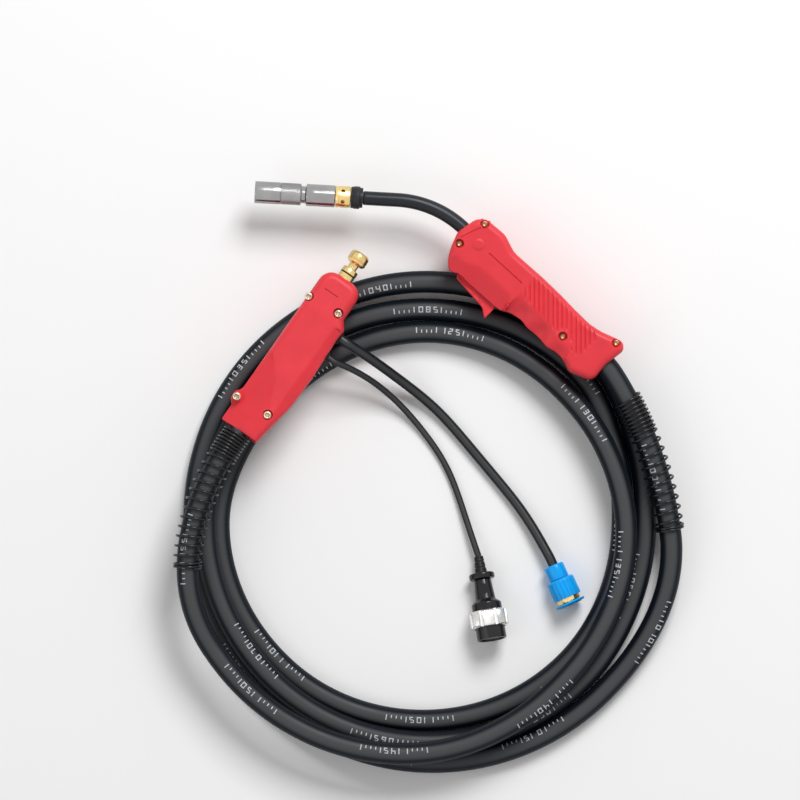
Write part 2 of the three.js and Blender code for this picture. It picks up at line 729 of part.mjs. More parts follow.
function addCable(whole, handle, housing) {
  whole.add(
    part("main_cable", tube(cableLine(handle, housing), CABLE_RADIUS, CABLE_SIDES), "black_rubber"),
    part(
      "handle_spring",
      tube(bendLine(SPRING_SLIP, BEND_LENGTH, 7), SPRING_RADIUS, CABLE_SIDES, SPRING_BORE),
      "black_steel",
    ),
    part(
      "housing_spring",
      tube(leaveLine(housing).slice(-SPRING_STEPS - 1), SPRING_RADIUS, CABLE_SIDES, SPRING_BORE),
      "black_steel",
    ),
  );
}

/** The way that the cable and its spring need through the handle's rear wall. */
function handleCableWay(handle) {
  const back = handle.matrix.clone().invert();
  const line = [-26, -14, 0, 20].map((length) => bendPoint(length).applyMatrix4(back));
  return solid(tube(line, SPRING_RADIUS + GAP, 12));
}

// ---- Connector housing ---------------------------------------------------------------------------

const NOSE = { length: 8.5, near: 3.75, far: 6.75, nearSide: 12.35, farSide: 14.75 }; // round the plug
const HOUSING_OUTLINE = [
  [0, -21.5], [49.4, -29.3], [83.4, -30.2], [127.9, -28.6], [140.5, -29.6], [149, -22.8],
  [HOUSING_LENGTH - NOSE.length, -PLUG_RADIUS - NOSE.farSide],
  [HOUSING_LENGTH, -PLUG_RADIUS - NOSE.far],
  [HOUSING_LENGTH, PLUG_RADIUS + NOSE.near],
  [HOUSING_LENGTH - NOSE.length, PLUG_RADIUS + NOSE.nearSide],
  [0, 20.8],
];
const HOUSING_EAR = { from: 18.5, to: 33, out: 25.4, half: 14 };

function housingRoom() {
  const depth = HOUSING_HALF - HOUSING_WALL;
  const outline = outlineOf(HOUSING_OUTLINE);
  let room = solid(slab(outline, depth, [1, 0], HOUSING_WALL));
  for (const [x, y, boss] of HOUSING_SCREWS) {
    room = room.subtract(solid(peg(x, y, boss, -depth - 1, depth + 1)));
  }
  return room;
}

/** A round hole in the housing's side, for a gland. */
const sideHole = (x, radius) =>
  solid(bar(SIDE_FACE - 12, SIDE_FACE + 12, radius, 10).rotateZ(-Math.PI / 2).translate(x, 0, 0));

function housingBody() {
  let body = solid(slab(outlineOf(HOUSING_OUTLINE), HOUSING_HALF, HOUSING_ROUND));
  for (const [x, y, boss] of HOUSING_SCREWS) {
    const top = HOUSING_SCREW.seat;
    body = body.add(solid(peg(x, y, boss, -top, top)));
  }
  const { from, to, out, half } = HOUSING_EAR;
  body = body.add(solid(block([from, 15, -half], [to, out, half])));
  const cuts = [
    solid(bar(HOUSING_LENGTH - 8, HOUSING_LENGTH + 4, PLUG_RADIUS + GAP, SIDES)),
    sideHole(HOSE_EXIT, HOSE_RADIUS + 1 + GAP),
    sideHole(LEAD_EXIT, LEAD_CABLE_RADIUS + 1 + GAP),
    housingRoom(),
    solid(bar(-10, CABLE_END + GAP, CABLE_RADIUS + 1.2, 12)),
  ];
  for (const cut of cuts) body = body.subtract(cut);
  for (const [x, y] of HOUSING_SCREWS) {
    body = body.subtract(screwRoom(x, y, { ...HOUSING_SCREW, half: HOUSING_HALF }));
  }
  return body;
}

/** The brass machine plug: flange inside the housing, barrel, neck and locking head. */
function machinePlug() {
  const seat = HOUSING_LENGTH - HOUSING_WALL - GAP;
  const barrel = HOUSING_LENGTH + PLUG_BARREL;
  const neck = barrel + PLUG_NECK;
  const head = neck + PLUG_HEAD;
  let body = solid(turned([
    [seat - PLUG_FLANGE.length, PLUG_BORE],
    [head, PLUG_BORE],
    [head, PLUG_HEAD_RADIUS - 3],
    [head - 3, PLUG_HEAD_RADIUS],
    [neck + 2, PLUG_HEAD_RADIUS],
    [neck, PLUG_HEAD_RADIUS - 2.5],
    [neck, PLUG_NECK_RADIUS],
    [barrel, PLUG_NECK_RADIUS],
    [barrel, PLUG_RADIUS - 0.8],
    [barrel - 0.8, PLUG_RADIUS],
    [seat, PLUG_RADIUS],
    [seat, PLUG_RADIUS + PLUG_FLANGE.over],
    [seat - PLUG_FLANGE.length, PLUG_RADIUS + PLUG_FLANGE.over],
  ], SIDES));
  const hole = peg(barrel + PLUG_NECK / 2, 0, 1.2, 2.4, PLUG_NECK_RADIUS + 1, 6);
  for (let number = 0; number < 4; number++) {
    body = body.subtract(solid(hole.clone().rotateX((Math.PI / 2) * number + Math.PI / 4)));
  }
  return shapeOf(body);
}

/** The block that the plug is screwed to, with a way through for gas and wire. */
function conduitBlock() {
  const deep = HOUSING_HALF - HOUSING_WALL - GAP;
  const rear = HOUSING_LENGTH - HOUSING_WALL - GAP - PLUG_FLANGE.length - GAP;
  const { from, near, far } = CONDUIT_BLOCK;
  const body = solid(block([from, -near, -deep], [rear, far, deep]));
  return shapeOf(body.subtract(solid(bar(from - 1, rear + 1, PLUG_BORE + 1, 8))));
}

function gland(x, radius) {
  const outer = SIDE_FACE + GLAND_STANDS;
  const body = turned([
    [SIDE_FACE - 5, 0],
    [SIDE_FACE - 5, radius + 1],
    [outer, radius + 1],
    [outer, 0],
  ], 10);
  return body.rotateZ(-Math.PI / 2).translate(x, 0, 0);
}

function addHousing(housing) {
  const body = housingBody();
  housing.add(
    part("housing_upper", halfOf(body, 1), "red_shell"),
    part("housing_lower", halfOf(body, -1), "red_shell"),
  );
  HOUSING_SCREWS.forEach(([x, y], number) => {
    const screw = screwShape(HOUSING_SCREW).translate(x, y, HOUSING_SCREW.seat + GAP);
    housing.add(part(`housing_screw_${number + 1}`, screw, "nickel"));
  });
  const ferruleFront = CABLE_END + GAP;
  const conductorFront = ferruleFront + FERRULE_LENGTH + GAP;
  const barrelMiddle = HOUSING_LENGTH + PLUG_BARREL / 2;
  housing.add(
    part("machine_plug", machinePlug(), "brass"),
    part(
      "plug_seal",
      ring(barrelMiddle - 1.2, barrelMiddle + 1.2, PLUG_RADIUS + GAP + 1.2, PLUG_RADIUS + GAP, 16),
      "black_rubber",
    ),
    part("conduit_block", conduitBlock(), "brass"),
    part(
      "cable_ferrule",
      ring(ferruleFront, ferruleFront + FERRULE_LENGTH, FERRULE_RADIUS, LINER_RADIUS, 12),
      "copper",
    ),
    part(
      "housing_conductor",
      ring(conductorFront, CONDUIT_BLOCK.from - GAP, CORE_RADIUS, LINER_RADIUS, 12),
      "copper",
    ),
    part("hose_gland", gland(HOSE_EXIT, HOSE_RADIUS), "black_rubber"),
    part("lead_gland", gland(LEAD_EXIT, LEAD_CABLE_RADIUS), "black_rubber"),
  );
}

// ---- Gas hose ---------------------------------------------------------------------------------------

const HOSE_ROUTE = [
  [-75.5, 174, 42.5], [-60.3, 163.8, 36], [-47.5, 154.6, 28], [-35.4, 145.6, 20],
  [-22, 135.7, 12.6], [-9, 125.9, 7.6], [2.8, 116.4, 5.5], [12.8, 105.8, 5.1], [31, 84.2, 5.1],
  [50, 61.5, 5.1], [68.2, 39.6, 5.1], [80, 26, 5.4], [90.5, 12.6, 6.4], [99, -1, 8],
  [106.5, -13.6, 9.9], [113, -26, 11.8],
];
const FITTING_TURN = -65.8;
const FITTING_PLACE = [121, -42];

const FLOOR_GAP = 0.2;
const RIM = 1.5; // rounding of the rims that touch the floor

/** The frame of a turned piece that lies on two rims, [along, radius], the large one ahead. */
function lyingFrame([x, y], turn, [smallAt, small], [largeAt, large]) {
  const tilt = Math.atan((large - small) / (largeAt - smallAt));
  const height = large * Math.cos(tilt) - largeAt * Math.sin(tilt) + FLOOR_GAP;
  return frameAt([x, y, height], turn, -THREE.MathUtils.radToDeg(tilt));
}

/** The frame of the gas fitting, with x running towards its cap. */
function fittingFrame() {
  const coverRim = HOSE_SLEEVE.length + GAP + RIM;
  const capRim = HOSE_SLEEVE.length + GAP + NUT_COVER.length + GAS_NUT_SHOWS + GAP;
  const rims = [[coverRim, NUT_COVER.radius], [capRim, CAP.radius]];
  return lyingFrame(FITTING_PLACE, FITTING_TURN, ...rims);
}

/** The way of a hose straight out of its gland, along its route and straight into its fitting. */
function hoseLine(housing, exit, route, fitting, step) {
  const start = SIDE_FACE + GLAND_STANDS + GAP;
  const straight = 8;
  const way = [
    fromFrame(housing, exit, -start - straight),
    ...route.map((point) => place(...point)),
    fromFrame(fitting, -GAP - straight, 0),
  ];
  const ends = [fromFrame(housing, exit, -start), fromFrame(fitting, -GAP, 0)];
  return [ends[0], ...spaced(way, step), ends[1]];
}

function addGasHose(whole, housing) {
  const fitting = fittingFrame();
  const line = hoseLine(housing, HOSE_EXIT, HOSE_ROUTE, fitting, 4.4 * HOSE_RADIUS);
  whole.add(part("gas_hose", tube(line, HOSE_RADIUS, 8), "black_rubber"));

  const sleeveFront = HOSE_SLEEVE.length;
  const coverRear = sleeveFront + GAP;
  const coverFront = coverRear + NUT_COVER.length;
  const nutFront = coverFront + GAS_NUT_SHOWS;
  const nippleFront = nutFront - CAP.depth - GAP;
  const nutBore = CAP.spigot + GAP;
  const nippleRadius = nutBore - 2;
  fitting.add(
    part("hose_nipple", turned([
      [0, NIPPLE_BORE],
      [nippleFront, NIPPLE_BORE],
      [nippleFront, nippleRadius],
      [coverRear + 4, nippleRadius],
      [coverRear + 4, HOSE_RADIUS],
      [0, HOSE_RADIUS],
    ]), "brass"),
    part("hose_sleeve", turned([
      [0, HOSE_RADIUS + GAP],
      [sleeveFront, HOSE_RADIUS + GAP],
      [sleeveFront, HOSE_SLEEVE.radius],
      [3, HOSE_SLEEVE.radius],
      [0, HOSE_SLEEVE.radius - 2],
    ], 16), "blue_plastic"),
    part("gas_nut", gasNut(coverRear + 1, nippleFront, nutFront, nippleRadius, nutBore), "brass"),
    part("nut_cover", nutCover(coverRear, coverFront), "blue_plastic"),
    part("gas_cap", turned([
      [nutFront + GAP - CAP.depth, 0],
      [nutFront + GAP - CAP.depth, CAP.spigot * 0.86],
      [nutFront + GAP, CAP.spigot * 0.86],
      [nutFront + GAP, CAP.radius],
      [nutFront + GAP + CAP.length - 0.8, CAP.radius],
      [nutFront + GAP + CAP.length, CAP.radius - 0.8],
      [nutFront + GAP + CAP.length, 0],
    ], 18), "blue_plastic"),
  );
  whole.add(fitting);
}

/** The hexagonal nut: a narrow bore that turns on the nipple, then the bore that takes the outlet. */
function gasNut(rear, step, front, nippleRadius, bore) {
  return shapeOf(
    solid(bar(rear, front, GAS_NUT_RADIUS, 6))
      .subtract(solid(bar(rear - 1, front + 1, nippleRadius + GAP, SMALL_SIDES)))
      .subtract(solid(bar(step, front + 1, bore, 16))),
  );
}

/** The blue cover that turns with the hexagonal nut in it. */
function nutCover(rear, front) {
  const body = solid(turned([
    [rear, 0],
    [rear, NUT_COVER.radius - RIM],
    [rear + RIM, NUT_COVER.radius],
    [front, NUT_COVER.radius],
    [front, 0],
  ], 18));
  const hexagon = solid(bar(rear + 1 - GAP, front + 1, GAS_NUT_RADIUS + GAP, 6));
  return shapeOf(body.subtract(hexagon).subtract(solid(bar(rear - 1, front, HOSE_RADIUS + 2, 12))));
}

// ---- Control lead -------------------------------------------------------------------------------------

const LEAD_ROUTE = [
  [-83.3, 156.2, 41.5], [-72, 150.3, 35.6], [-61, 143.4, 28], [-50, 135.4, 20.2],
  [-39.8, 126.8, 13.2], [-29.4, 116.6, 7.6], [-19.6, 105.6, 4.4], [-2, 83, 3.3], [7.4, 70.4, 3.3],
  [15.6, 57, 3.3], [22, 40.5, 3.4], [28, 23, 4], [32, 10, 5.2], [36.5, -4, 7.2], [41.2, -18, 9.8],
];
const CONTROL_TURN = -80.8;
const CONTROL_PLACE = [46.5, -33.4];

/** Where things stand along the control plug, from the lead's end. */
const flangeRear = BOOT.length + GAP;
const shellRear = flangeRear + FLANGE.length + GAP;
const shoulderRear = shellRear + PLUG_SHELL.taper;
const barrelRear = shoulderRear + PLUG_SHELL.shoulder;
const shellFront = barrelRear + PLUG_SHELL.barrel;
const nutRear = barrelRear + 7;
const nutFront = nutRear + LOCK_NUT.length;
const insertFront = nutFront + INSERT.out;

function controlFrame() {
  const rims = [[flangeRear + RIM, FLANGE.radius], [nutRear, LOCK_NUT.radius]];
  return lyingFrame(CONTROL_PLACE, CONTROL_TURN, ...rims);
}

function plugShell() {
  const { small, mid, large } = PLUG_SHELL;
  return turned([
    [shellRear, 0],
    [shellRear, small],
    [shoulderRear, mid],
    [barrelRear, large],
    [nutRear - GAP, large],
    [nutRear - GAP, large - 1],
    [shellFront, large - 1],
    [shellFront, 0],
  ], SIDES);
}

/** A coupling nut with grooves along its grip. */
function lockNut() {
  let body = solid(ring(nutRear, nutFront, LOCK_NUT.radius, LOCK_NUT.bore, 24));
  const groove = peg(0, 0, 2, -2, LOCK_NUT.length + 2, 8).rotateY(Math.PI / 2);
  for (let lobe = 0; lobe < LOCK_NUT.lobes; lobe++) {
    const turn = (2 * Math.PI * lobe) / LOCK_NUT.lobes + Math.PI / LOCK_NUT.lobes;
    const out = LOCK_NUT.radius + 0.4;
    const cut = groove.clone().translate(nutRear, out * Math.cos(turn), out * Math.sin(turn));
    body = body.subtract(solid(cut));
  }
  return shapeOf(body);
}

/** The black insert with one deep hole for each contact. */
function plugInsert() {
  const rear = shellFront + GAP;
  let body = solid(bar(rear, insertFront, INSERT.radius, SIDES));
  const hole = bar(insertFront - 9, insertFront + 1, INSERT.hole, 6);
  for (let pin = 0; pin < INSERT.pins; pin++) {
    const turn = (2 * Math.PI * pin) / INSERT.pins;
    const [y, z] = [INSERT.circle * Math.cos(turn), INSERT.circle * Math.sin(turn)];
    body = body.subtract(solid(hole.clone().translate(0, y, z)));
  }
  return shapeOf(body);
}

function addControlLead(whole, housing) {
  const control = controlFrame();
  const line = hoseLine(housing, LEAD_EXIT, LEAD_ROUTE, control, 4.8 * LEAD_CABLE_RADIUS);
  whole.add(part("control_lead", tube(line, LEAD_CABLE_RADIUS, 8), "black_rubber"));
  control.add(
    part("lead_boot", turned([
      [0, 0],
      [0, BOOT.radius - RIM],
      [BOOT.length, BOOT.radius],
      [BOOT.length, 0],
    ]), "black_rubber"),
    part("plug_flange", turned([
      [flangeRear, 0],
      [flangeRear, FLANGE.radius - RIM],
      [flangeRear + RIM, FLANGE.radius],
      [flangeRear + FLANGE.length - RIM, FLANGE.radius],
      [flangeRear + FLANGE.length, FLANGE.radius - RIM],
      [flangeRear + FLANGE.length, 0],
    ], 16), "black_plastic"),
    part("plug_shell", plugShell(), "black_plastic"),
    part("lock_nut", lockNut(), "nickel"),
    part("plug_insert", plugInsert(), "black_plastic"),
  );
  whole.add(control);
}

// ---- The whole torch ----------------------------------------------------------------------------------

/** Moves the model so that the origin is under the middle of all but the loose hose and lead. */
function centre(whole, firm) {
  whole.updateMatrixWorld(true);
  const bounds = new THREE.Box3().setFromObject(firm, true);
  const middle = bounds.getCenter(new THREE.Vector3());
  whole.position.set(-middle.x, -middle.y, -bounds.min.z);
}

function torch() {
  const whole = new THREE.Group();
  const firm = new THREE.Group();
  const handle = frameAt(HANDLE_PLACE, HANDLE_TURN);
  const housing = frameAt(HOUSING_PLACE, HOUSING_TURN, HOUSING_TILT);
  addFrontEnd(handle);
  addHandle(handle, handleCableWay(handle));
  addHousing(housing);
  firm.add(handle, housing);
  addCable(firm, handle, housing);
  whole.add(firm);
  addGasHose(whole, housing);
  addControlLead(whole, housing);
  centre(whole, firm);
  return whole;
}

export default torch();
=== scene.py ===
"""Looks of a gas-shielded welding torch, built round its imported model.

Lengths inside a class are millimetres in the sub-assembly's own axes. Each sub-assembly's place comes from
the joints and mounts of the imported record, and a finished piece's points are metres in the model's frame.
"""

import json
import logging
import math
from collections.abc import Callable, Iterable, Sequence
from dataclasses import dataclass, field
from enum import Enum

import bmesh
import bpy
import numpy as np
from mathutils import Matrix, Vector, geometry


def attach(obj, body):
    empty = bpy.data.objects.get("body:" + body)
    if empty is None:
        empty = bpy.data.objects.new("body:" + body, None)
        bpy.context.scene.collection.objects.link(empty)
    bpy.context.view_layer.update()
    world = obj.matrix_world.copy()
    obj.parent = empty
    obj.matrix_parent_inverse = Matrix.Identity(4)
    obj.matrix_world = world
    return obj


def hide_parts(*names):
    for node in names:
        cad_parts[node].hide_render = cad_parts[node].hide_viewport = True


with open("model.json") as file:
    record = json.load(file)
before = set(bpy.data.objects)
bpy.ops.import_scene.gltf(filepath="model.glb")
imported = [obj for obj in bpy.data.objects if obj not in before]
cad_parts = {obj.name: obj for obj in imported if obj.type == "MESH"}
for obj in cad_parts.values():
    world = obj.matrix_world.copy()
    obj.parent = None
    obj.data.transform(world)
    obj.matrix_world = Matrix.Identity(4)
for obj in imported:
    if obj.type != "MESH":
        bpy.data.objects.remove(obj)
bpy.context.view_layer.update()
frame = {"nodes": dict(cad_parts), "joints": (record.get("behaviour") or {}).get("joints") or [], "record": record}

LOG = logging.getLogger("torch")
MM = 0.001
GAP = 0.3  # between two pieces that touch
CLEARANCE = 0.15  # half of the parting between two shells
SHELL_WALL = 2.2  # thickness of the red shells
SHANK_END = -12.5  # where a screw's shank ends, from the parting plane
Points = np.ndarray


# ---- Places ----


@dataclass(frozen=True)
class Place:
    """The axes of a sub-assembly: its origin in metres, and its directions as the rows of a matrix."""

    origin: Points
    axes: Points

    def put(self, points: Points) -> Points:
        """Takes points in millimetres in these axes to metres in the model's frame."""
        return self.origin + (np.atleast_2d(points) * MM) @ self.axes

    def point(self, x: float, y: float = 0.0, z: float = 0.0) -> Points:
        """One point of the model's frame, in metres."""
        return self.put(np.array([[x, y, z]]))[0]


def unit(vector: Sequence[float]) -> Points:
    """The vector at length one."""
    array = np.array(vector, float)
    return array / np.linalg.norm(array)


def about(origin: Points, x: Sequence[float]) -> Place:
    """A place with its x given and its z as near to straight up as it can be.

    Args:
        origin: its origin, in metres.
        x: its x direction, of any length.

    Returns:
        The place.
    """
    first = unit(x)
    up = unit(np.array([0, 0, 1]) - first[2] * first)
    return Place(np.array(origin, float), np.array([first, np.cross(up, first), up]))


def joint(name: str) -> dict:
    """The record's joint of that name."""
    return next(one for one in frame["joints"] if one["name"] == name)


def mount(name: str) -> dict:
    """The record's mount of that name."""
    return next(one for one in frame["record"]["mounts"] if one["name"] == name)


@dataclass(frozen=True)
class Layout:
    """Where the sub-assemblies stand, worked out from the record's joints and mounts."""

    trigger_pivot: tuple[float, float] = (31.0, -34.0)
    neck_radius: float = 104.0
    neck_bend: float = 40.0
    neck_straight: float = 34.6
    plug_end: float = 215.0
    plug_end_off: float = 4.5
    handle_in_drawing: tuple[float, float, float] = (31.0, 294.0, 42.0)

    def handle(self) -> Place:
        """The handle: x back along the grip, y away from the trigger.

        Returns:
            The place.
        """
        pivot = joint("trigger_squeeze")
        y = unit(joint("plunger_press")["axis"])
        z = unit(pivot["axis"])
        axes = np.array([np.cross(y, z), y, z])
        x_off, y_off = self.trigger_pivot
        origin = np.array(pivot["pos_m"]) - MM * (x_off * axes[0] + y_off * axes[1])
        return Place(origin, axes)

    def neck_end(self, length: float) -> Points:
        """A point on the straight front stretch of the neck, in the handle's axes.

        Args:
            length: how far along it, in millimetres.

        Returns:
            The point.
        """
        bend = math.radians(self.neck_bend)
        x = -self.neck_radius * math.sin(bend) - length * math.cos(bend)
        y = -self.neck_radius * (1 - math.cos(bend)) - length * math.sin(bend)
        return np.array([x, y, 0.0])

    def front(self) -> Place:
        """The neck's front end: x towards the nozzle's mouth."""
        origin = self.handle().put(self.neck_end(self.neck_straight))[0]
        return about(origin, joint("nozzle_pull")["axis"])

    def housing(self) -> Place:
        """The connector housing: x from the cable to the plug.

        Returns:
            The place.
        """
        end = mount("machine_plug_end")
        place = about(np.array(end["pos_m"]), end["axis"])
        origin = place.point(-self.plug_end, 0, -self.plug_end_off)
        return Place(origin, place.axes)

    def fitting(self) -> Place:
        """The gas fitting: x towards its cap."""
        turn = joint("gas_nut_turn")
        return about(turn["pos_m"], turn["axis"])

    def control(self) -> Place:
        """The control plug: x towards its contacts."""
        turn = joint("lock_nut_turn")
        return about(turn["pos_m"], turn["axis"])

    def drawing(self) -> Place:
        """The axes that the cable's coil is drawn in, with its centre at the origin."""
        origin = self.handle().origin - MM * np.array(self.handle_in_drawing)
        return Place(origin, np.eye(3))


# ---- Finishes ----


class Grain(Enum):
    """What a surface is like close up."""

    MOULDED = "moulded"
    RUBBER = "rubber"
    TURNED = "turned"
    PLATED = "plated"


@dataclass(frozen=True)
class Finish:
    """A surface's colour, gloss and close-up character."""

    name: str
    slot: str
    colour: tuple[float, float, float]
    roughness: float
    grain: Grain
    metallic: float = 0.0
    grain_size: float = 0.35
    relief: float = 0.02
    unevenness: float = 0.12
    # lighter rubbed edges (wear) and darker hollow corners (painted shade)
    wear: float = 0.0
    gloss: float = 0.5
    # painted highlight: how much paler the colour is made where the surface faces up
    film: float = 0.0


FINISHES = {
    one.name: one
    for one in (
        Finish("red_nylon", "red_shell", (0.80, 0.038, 0.054), 0.42, Grain.MOULDED, wear=0.10, gloss=0.32),
        Finish("black_nylon", "black_plastic", (0.013, 0.014, 0.017), 0.42, Grain.MOULDED, wear=0.15,
               gloss=0.25),
        Finish("black_gloss", "black_plastic", (0.010, 0.010, 0.012), 0.18, Grain.MOULDED, relief=0.004,
               wear=0.1, gloss=0.3),
        Finish("blue_nylon", "blue_plastic", (0.0, 0.40, 0.98), 0.20, Grain.MOULDED, relief=0.01, wear=0.08,
               gloss=0.25),
        Finish("sheath", "cable_rubber", (0.0055, 0.0085, 0.0130), 0.40, Grain.RUBBER, grain_size=0.9,
               relief=0.03, gloss=0.12, film=0.062),
        Finish("hose", "black_rubber", (0.007, 0.009, 0.011), 0.30, Grain.RUBBER, grain_size=0.6, relief=0.04,
               gloss=0.25, film=0.03),
        Finish("lead", "black_rubber", (0.011, 0.012, 0.015), 0.42, Grain.RUBBER, grain_size=0.5, relief=0.02,
               gloss=0.25, film=0.03),
        Finish("seal", "black_rubber", (0.013, 0.013, 0.015), 0.50, Grain.RUBBER, gloss=0.25),
        Finish("chrome_plate", "chrome", (0.38, 0.378, 0.38), 0.14, Grain.PLATED, 1.0, 0.8, 0.003, 0.25),
        Finish("nickel_plate", "nickel", (0.92, 0.91, 0.89), 0.28, Grain.PLATED, 1.0, 0.6, 0.006, 0.25),
        Finish("screw_zinc", "nickel", (0.66, 0.60, 0.48), 0.28, Grain.PLATED, 1.0, 0.6, 0.006, 0.3,
               wear=0.2),
        Finish("turned_brass", "brass", (0.94, 0.70, 0.30), 0.22, Grain.TURNED, 1.0, 0.5, 0.010, 0.3),
        Finish("dull_brass", "brass", (0.46, 0.31, 0.15), 0.38, Grain.TURNED, 1.0, 0.5, 0.010, 0.4),
        Finish("bare_copper", "copper", (0.80, 0.40, 0.24), 0.30, Grain.TURNED, 1.0, 0.5, 0.010, 0.4),
        Finish("plain_steel", "steel", (0.50, 0.50, 0.52), 0.34, Grain.TURNED, 1.0, 0.4, 0.008, 0.3),
        Finish("neck_coat", "black_steel", (0.024, 0.026, 0.031), 0.30, Grain.PLATED, 0.4, 0.5, 0.008, 0.3,
               gloss=0.25),
        Finish("spring_wire", "black_steel", (0.007, 0.007, 0.009), 0.13, Grain.PLATED, 0.0, 0.5, 0.003, 0.2,
               gloss=0.32),
        Finish("glass_fibre", "insulator", (0.62, 0.54, 0.38), 0.62, Grain.MOULDED, relief=0.05,
               unevenness=0.4),
        Finish("print_white", "cable_rubber", (0.60, 0.63, 0.67), 0.60, Grain.RUBBER, relief=0.0,
               unevenness=0.35),
    )
}


class NodeTree:
    """A small helper that adds and links nodes of one tree."""

    def __init__(self, tree: bpy.types.NodeTree) -> None:
        """Keeps the tree.

        Args:
            tree: the node tree to build in.
        """
        self.tree = tree

    def add(self, kind: str, inputs: dict | None = None, **settings: object) -> bpy.types.Node:
        """Adds a node.

        Args:
            kind: the node's type name.
            inputs: values, or sockets to link from, by the input's name or number.
            settings: attributes of the node.

        Returns:
            The node.
        """
        node = self.tree.nodes.new(kind)
        for key, value in settings.items():
            setattr(node, key, value)
        for key, value in (inputs or {}).items():
            if isinstance(value, bpy.types.NodeSocket):
                self.tree.links.new(value, node.inputs[key])
            else:
                node.inputs[key].default_value = value
        return node

    def link(self, source: bpy.types.NodeSocket, target: bpy.types.NodeSocket) -> None:
        """Links two sockets."""
        self.tree.links.new(source, target)

    def maths(self, operation: str, *values: object) -> bpy.types.NodeSocket:
        """Adds a Math node.

        Args:
            operation: its operation.
            values: numbers or sockets, in order.

        Returns:
            Its output.
        """
        node = self.add("ShaderNodeMath", dict(enumerate(values)), operation=operation)
        return node.outputs[0]

    def spread(self, value: object, low: float, high: float, start: float = 0.0,
               end: float = 1.0) -> bpy.types.NodeSocket:
        """Maps a value between two others.

        Args:
            value: the socket.
            low: the value that becomes start.
            high: the value that becomes end.
            start: the result at low.
            end: the result at high.

        Returns:
            The clamped result.
        """
        inputs = {"Value": value, "From Min": low, "From Max": high, "To Min": start, "To Max": end}
        return self.add("ShaderNodeMapRange", inputs).outputs["Result"]


def group(name: str, inputs: dict[str, float], outputs: Sequence[str]) -> tuple[NodeTree, dict, dict]:
    """Starts a shader node group of values.

    Args:
        name: the group's name.
        inputs: each input's name and default.
        outputs: the names of its outputs.

    Returns:
        The tree, its input sockets by name and the sockets that take its outputs by name.
    """
    made = bpy.data.node_groups.new(name, "ShaderNodeTree")
    for socket, value in inputs.items():
        made.interface.new_socket(socket, in_out="INPUT", socket_type="NodeSocketFloat").default_value = value
    for socket in outputs:
        made.interface.new_socket(socket, in_out="OUTPUT", socket_type="NodeSocketFloat")
    tree = NodeTree(made)
    entry = tree.add("NodeGroupInput")
    leave = tree.add("NodeGroupOutput")
    return tree, {one: entry.outputs[one] for one in inputs}, {one: leave.inputs[one] for one in outputs}


def grain_group() -> bpy.types.NodeTree:
    """The fine skin of a moulded, rubber or plated surface.

    Returns:
        A group with Size in millimetres, which gives Height and slow Tone, both from 0 to 1.
    """
    tree, entry, leave = group("surface_grain", {"Size": 0.4, "Patch": 30.0}, ("Height", "Tone"))
    place = tree.add("ShaderNodeTexCoord").outputs["Object"]
    fine = tree.maths("DIVIDE", 1 / MM, entry["Size"])
    slow = tree.maths("DIVIDE", 1 / MM, entry["Patch"])
    noise = tree.add("ShaderNodeTexNoise", {"Vector": place, "Scale": fine, "Detail": 3.0, "Roughness": 0.6})
    patch = tree.add("ShaderNodeTexNoise", {"Vector": place, "Scale": slow, "Detail": 4.0, "Roughness": 0.55})
    tree.link(noise.outputs["Fac"], leave["Height"])
    tree.link(tree.spread(patch.outputs["Fac"], 0.3, 0.7), leave["Tone"])
    return tree.tree


def marks_group() -> bpy.types.NodeTree:
    """Light handling marks: sparse short scratches and settled dust.

    Returns:
        A group with Amount, which gives Scratch and Dust masks.
    """
    tree, entry, leave = group("handling_marks", {"Amount": 0.2}, ("Scratch", "Dust"))
    place = tree.add("ShaderNodeTexCoord").outputs["Object"]
    scratches = []
    for turn, stretch in ((0.5, 14.0), (2.1, 11.0)):
        turned = tree.add("ShaderNodeMapping",
                          {"Vector": place, "Rotation": (0.3, 0.2, turn), "Scale": (1.0, stretch, 1.0)})
        lines = tree.add("ShaderNodeTexNoise", {"Vector": turned.outputs[0], "Scale": 60.0, "Detail": 2.0})
        off = tree.maths("ABSOLUTE", tree.maths("SUBTRACT", lines.outputs["Fac"], 0.5))
        scratches.append(tree.spread(off, 0.004, 0.0))
    where = tree.add("ShaderNodeTexNoise", {"Vector": place, "Scale": 26.0, "Detail": 2.0})
    mask = tree.spread(where.outputs["Fac"], 0.52, 0.62)
    both = tree.maths("MULTIPLY", tree.maths("MAXIMUM", *scratches), mask)
    tree.link(tree.maths("MULTIPLY", both, entry["Amount"]), leave["Scratch"])
    specks = tree.add("ShaderNodeTexVoronoi", {"Vector": place, "Scale": 260.0})
    speck = tree.spread(specks.outputs["Distance"], 0.10, 0.04)
    tree.link(tree.maths("MULTIPLY", speck, entry["Amount"]), leave["Dust"])
    return tree.tree


def edge_group() -> bpy.types.NodeTree:
    """Masks by curvature: edges, which are lightened as rubbed wear, and hollow corners, which are darkened as
    painted shade.

    Returns:
        A group with Contrast, which gives Edge and Crevice masks.
    """
    tree, entry, leave = group("edge_light", {"Contrast": 6.0}, ("Edge", "Crevice"))
    bend = tree.add("ShaderNodeNewGeometry").outputs["Pointiness"]
    out = tree.maths("MULTIPLY", tree.maths("SUBTRACT", bend, 0.5), entry["Contrast"])
    tree.link(tree.spread(out, 0.1, 0.9), leave["Edge"])
    tree.link(tree.spread(out, -0.1, -0.9), leave["Crevice"])
    return tree.tree


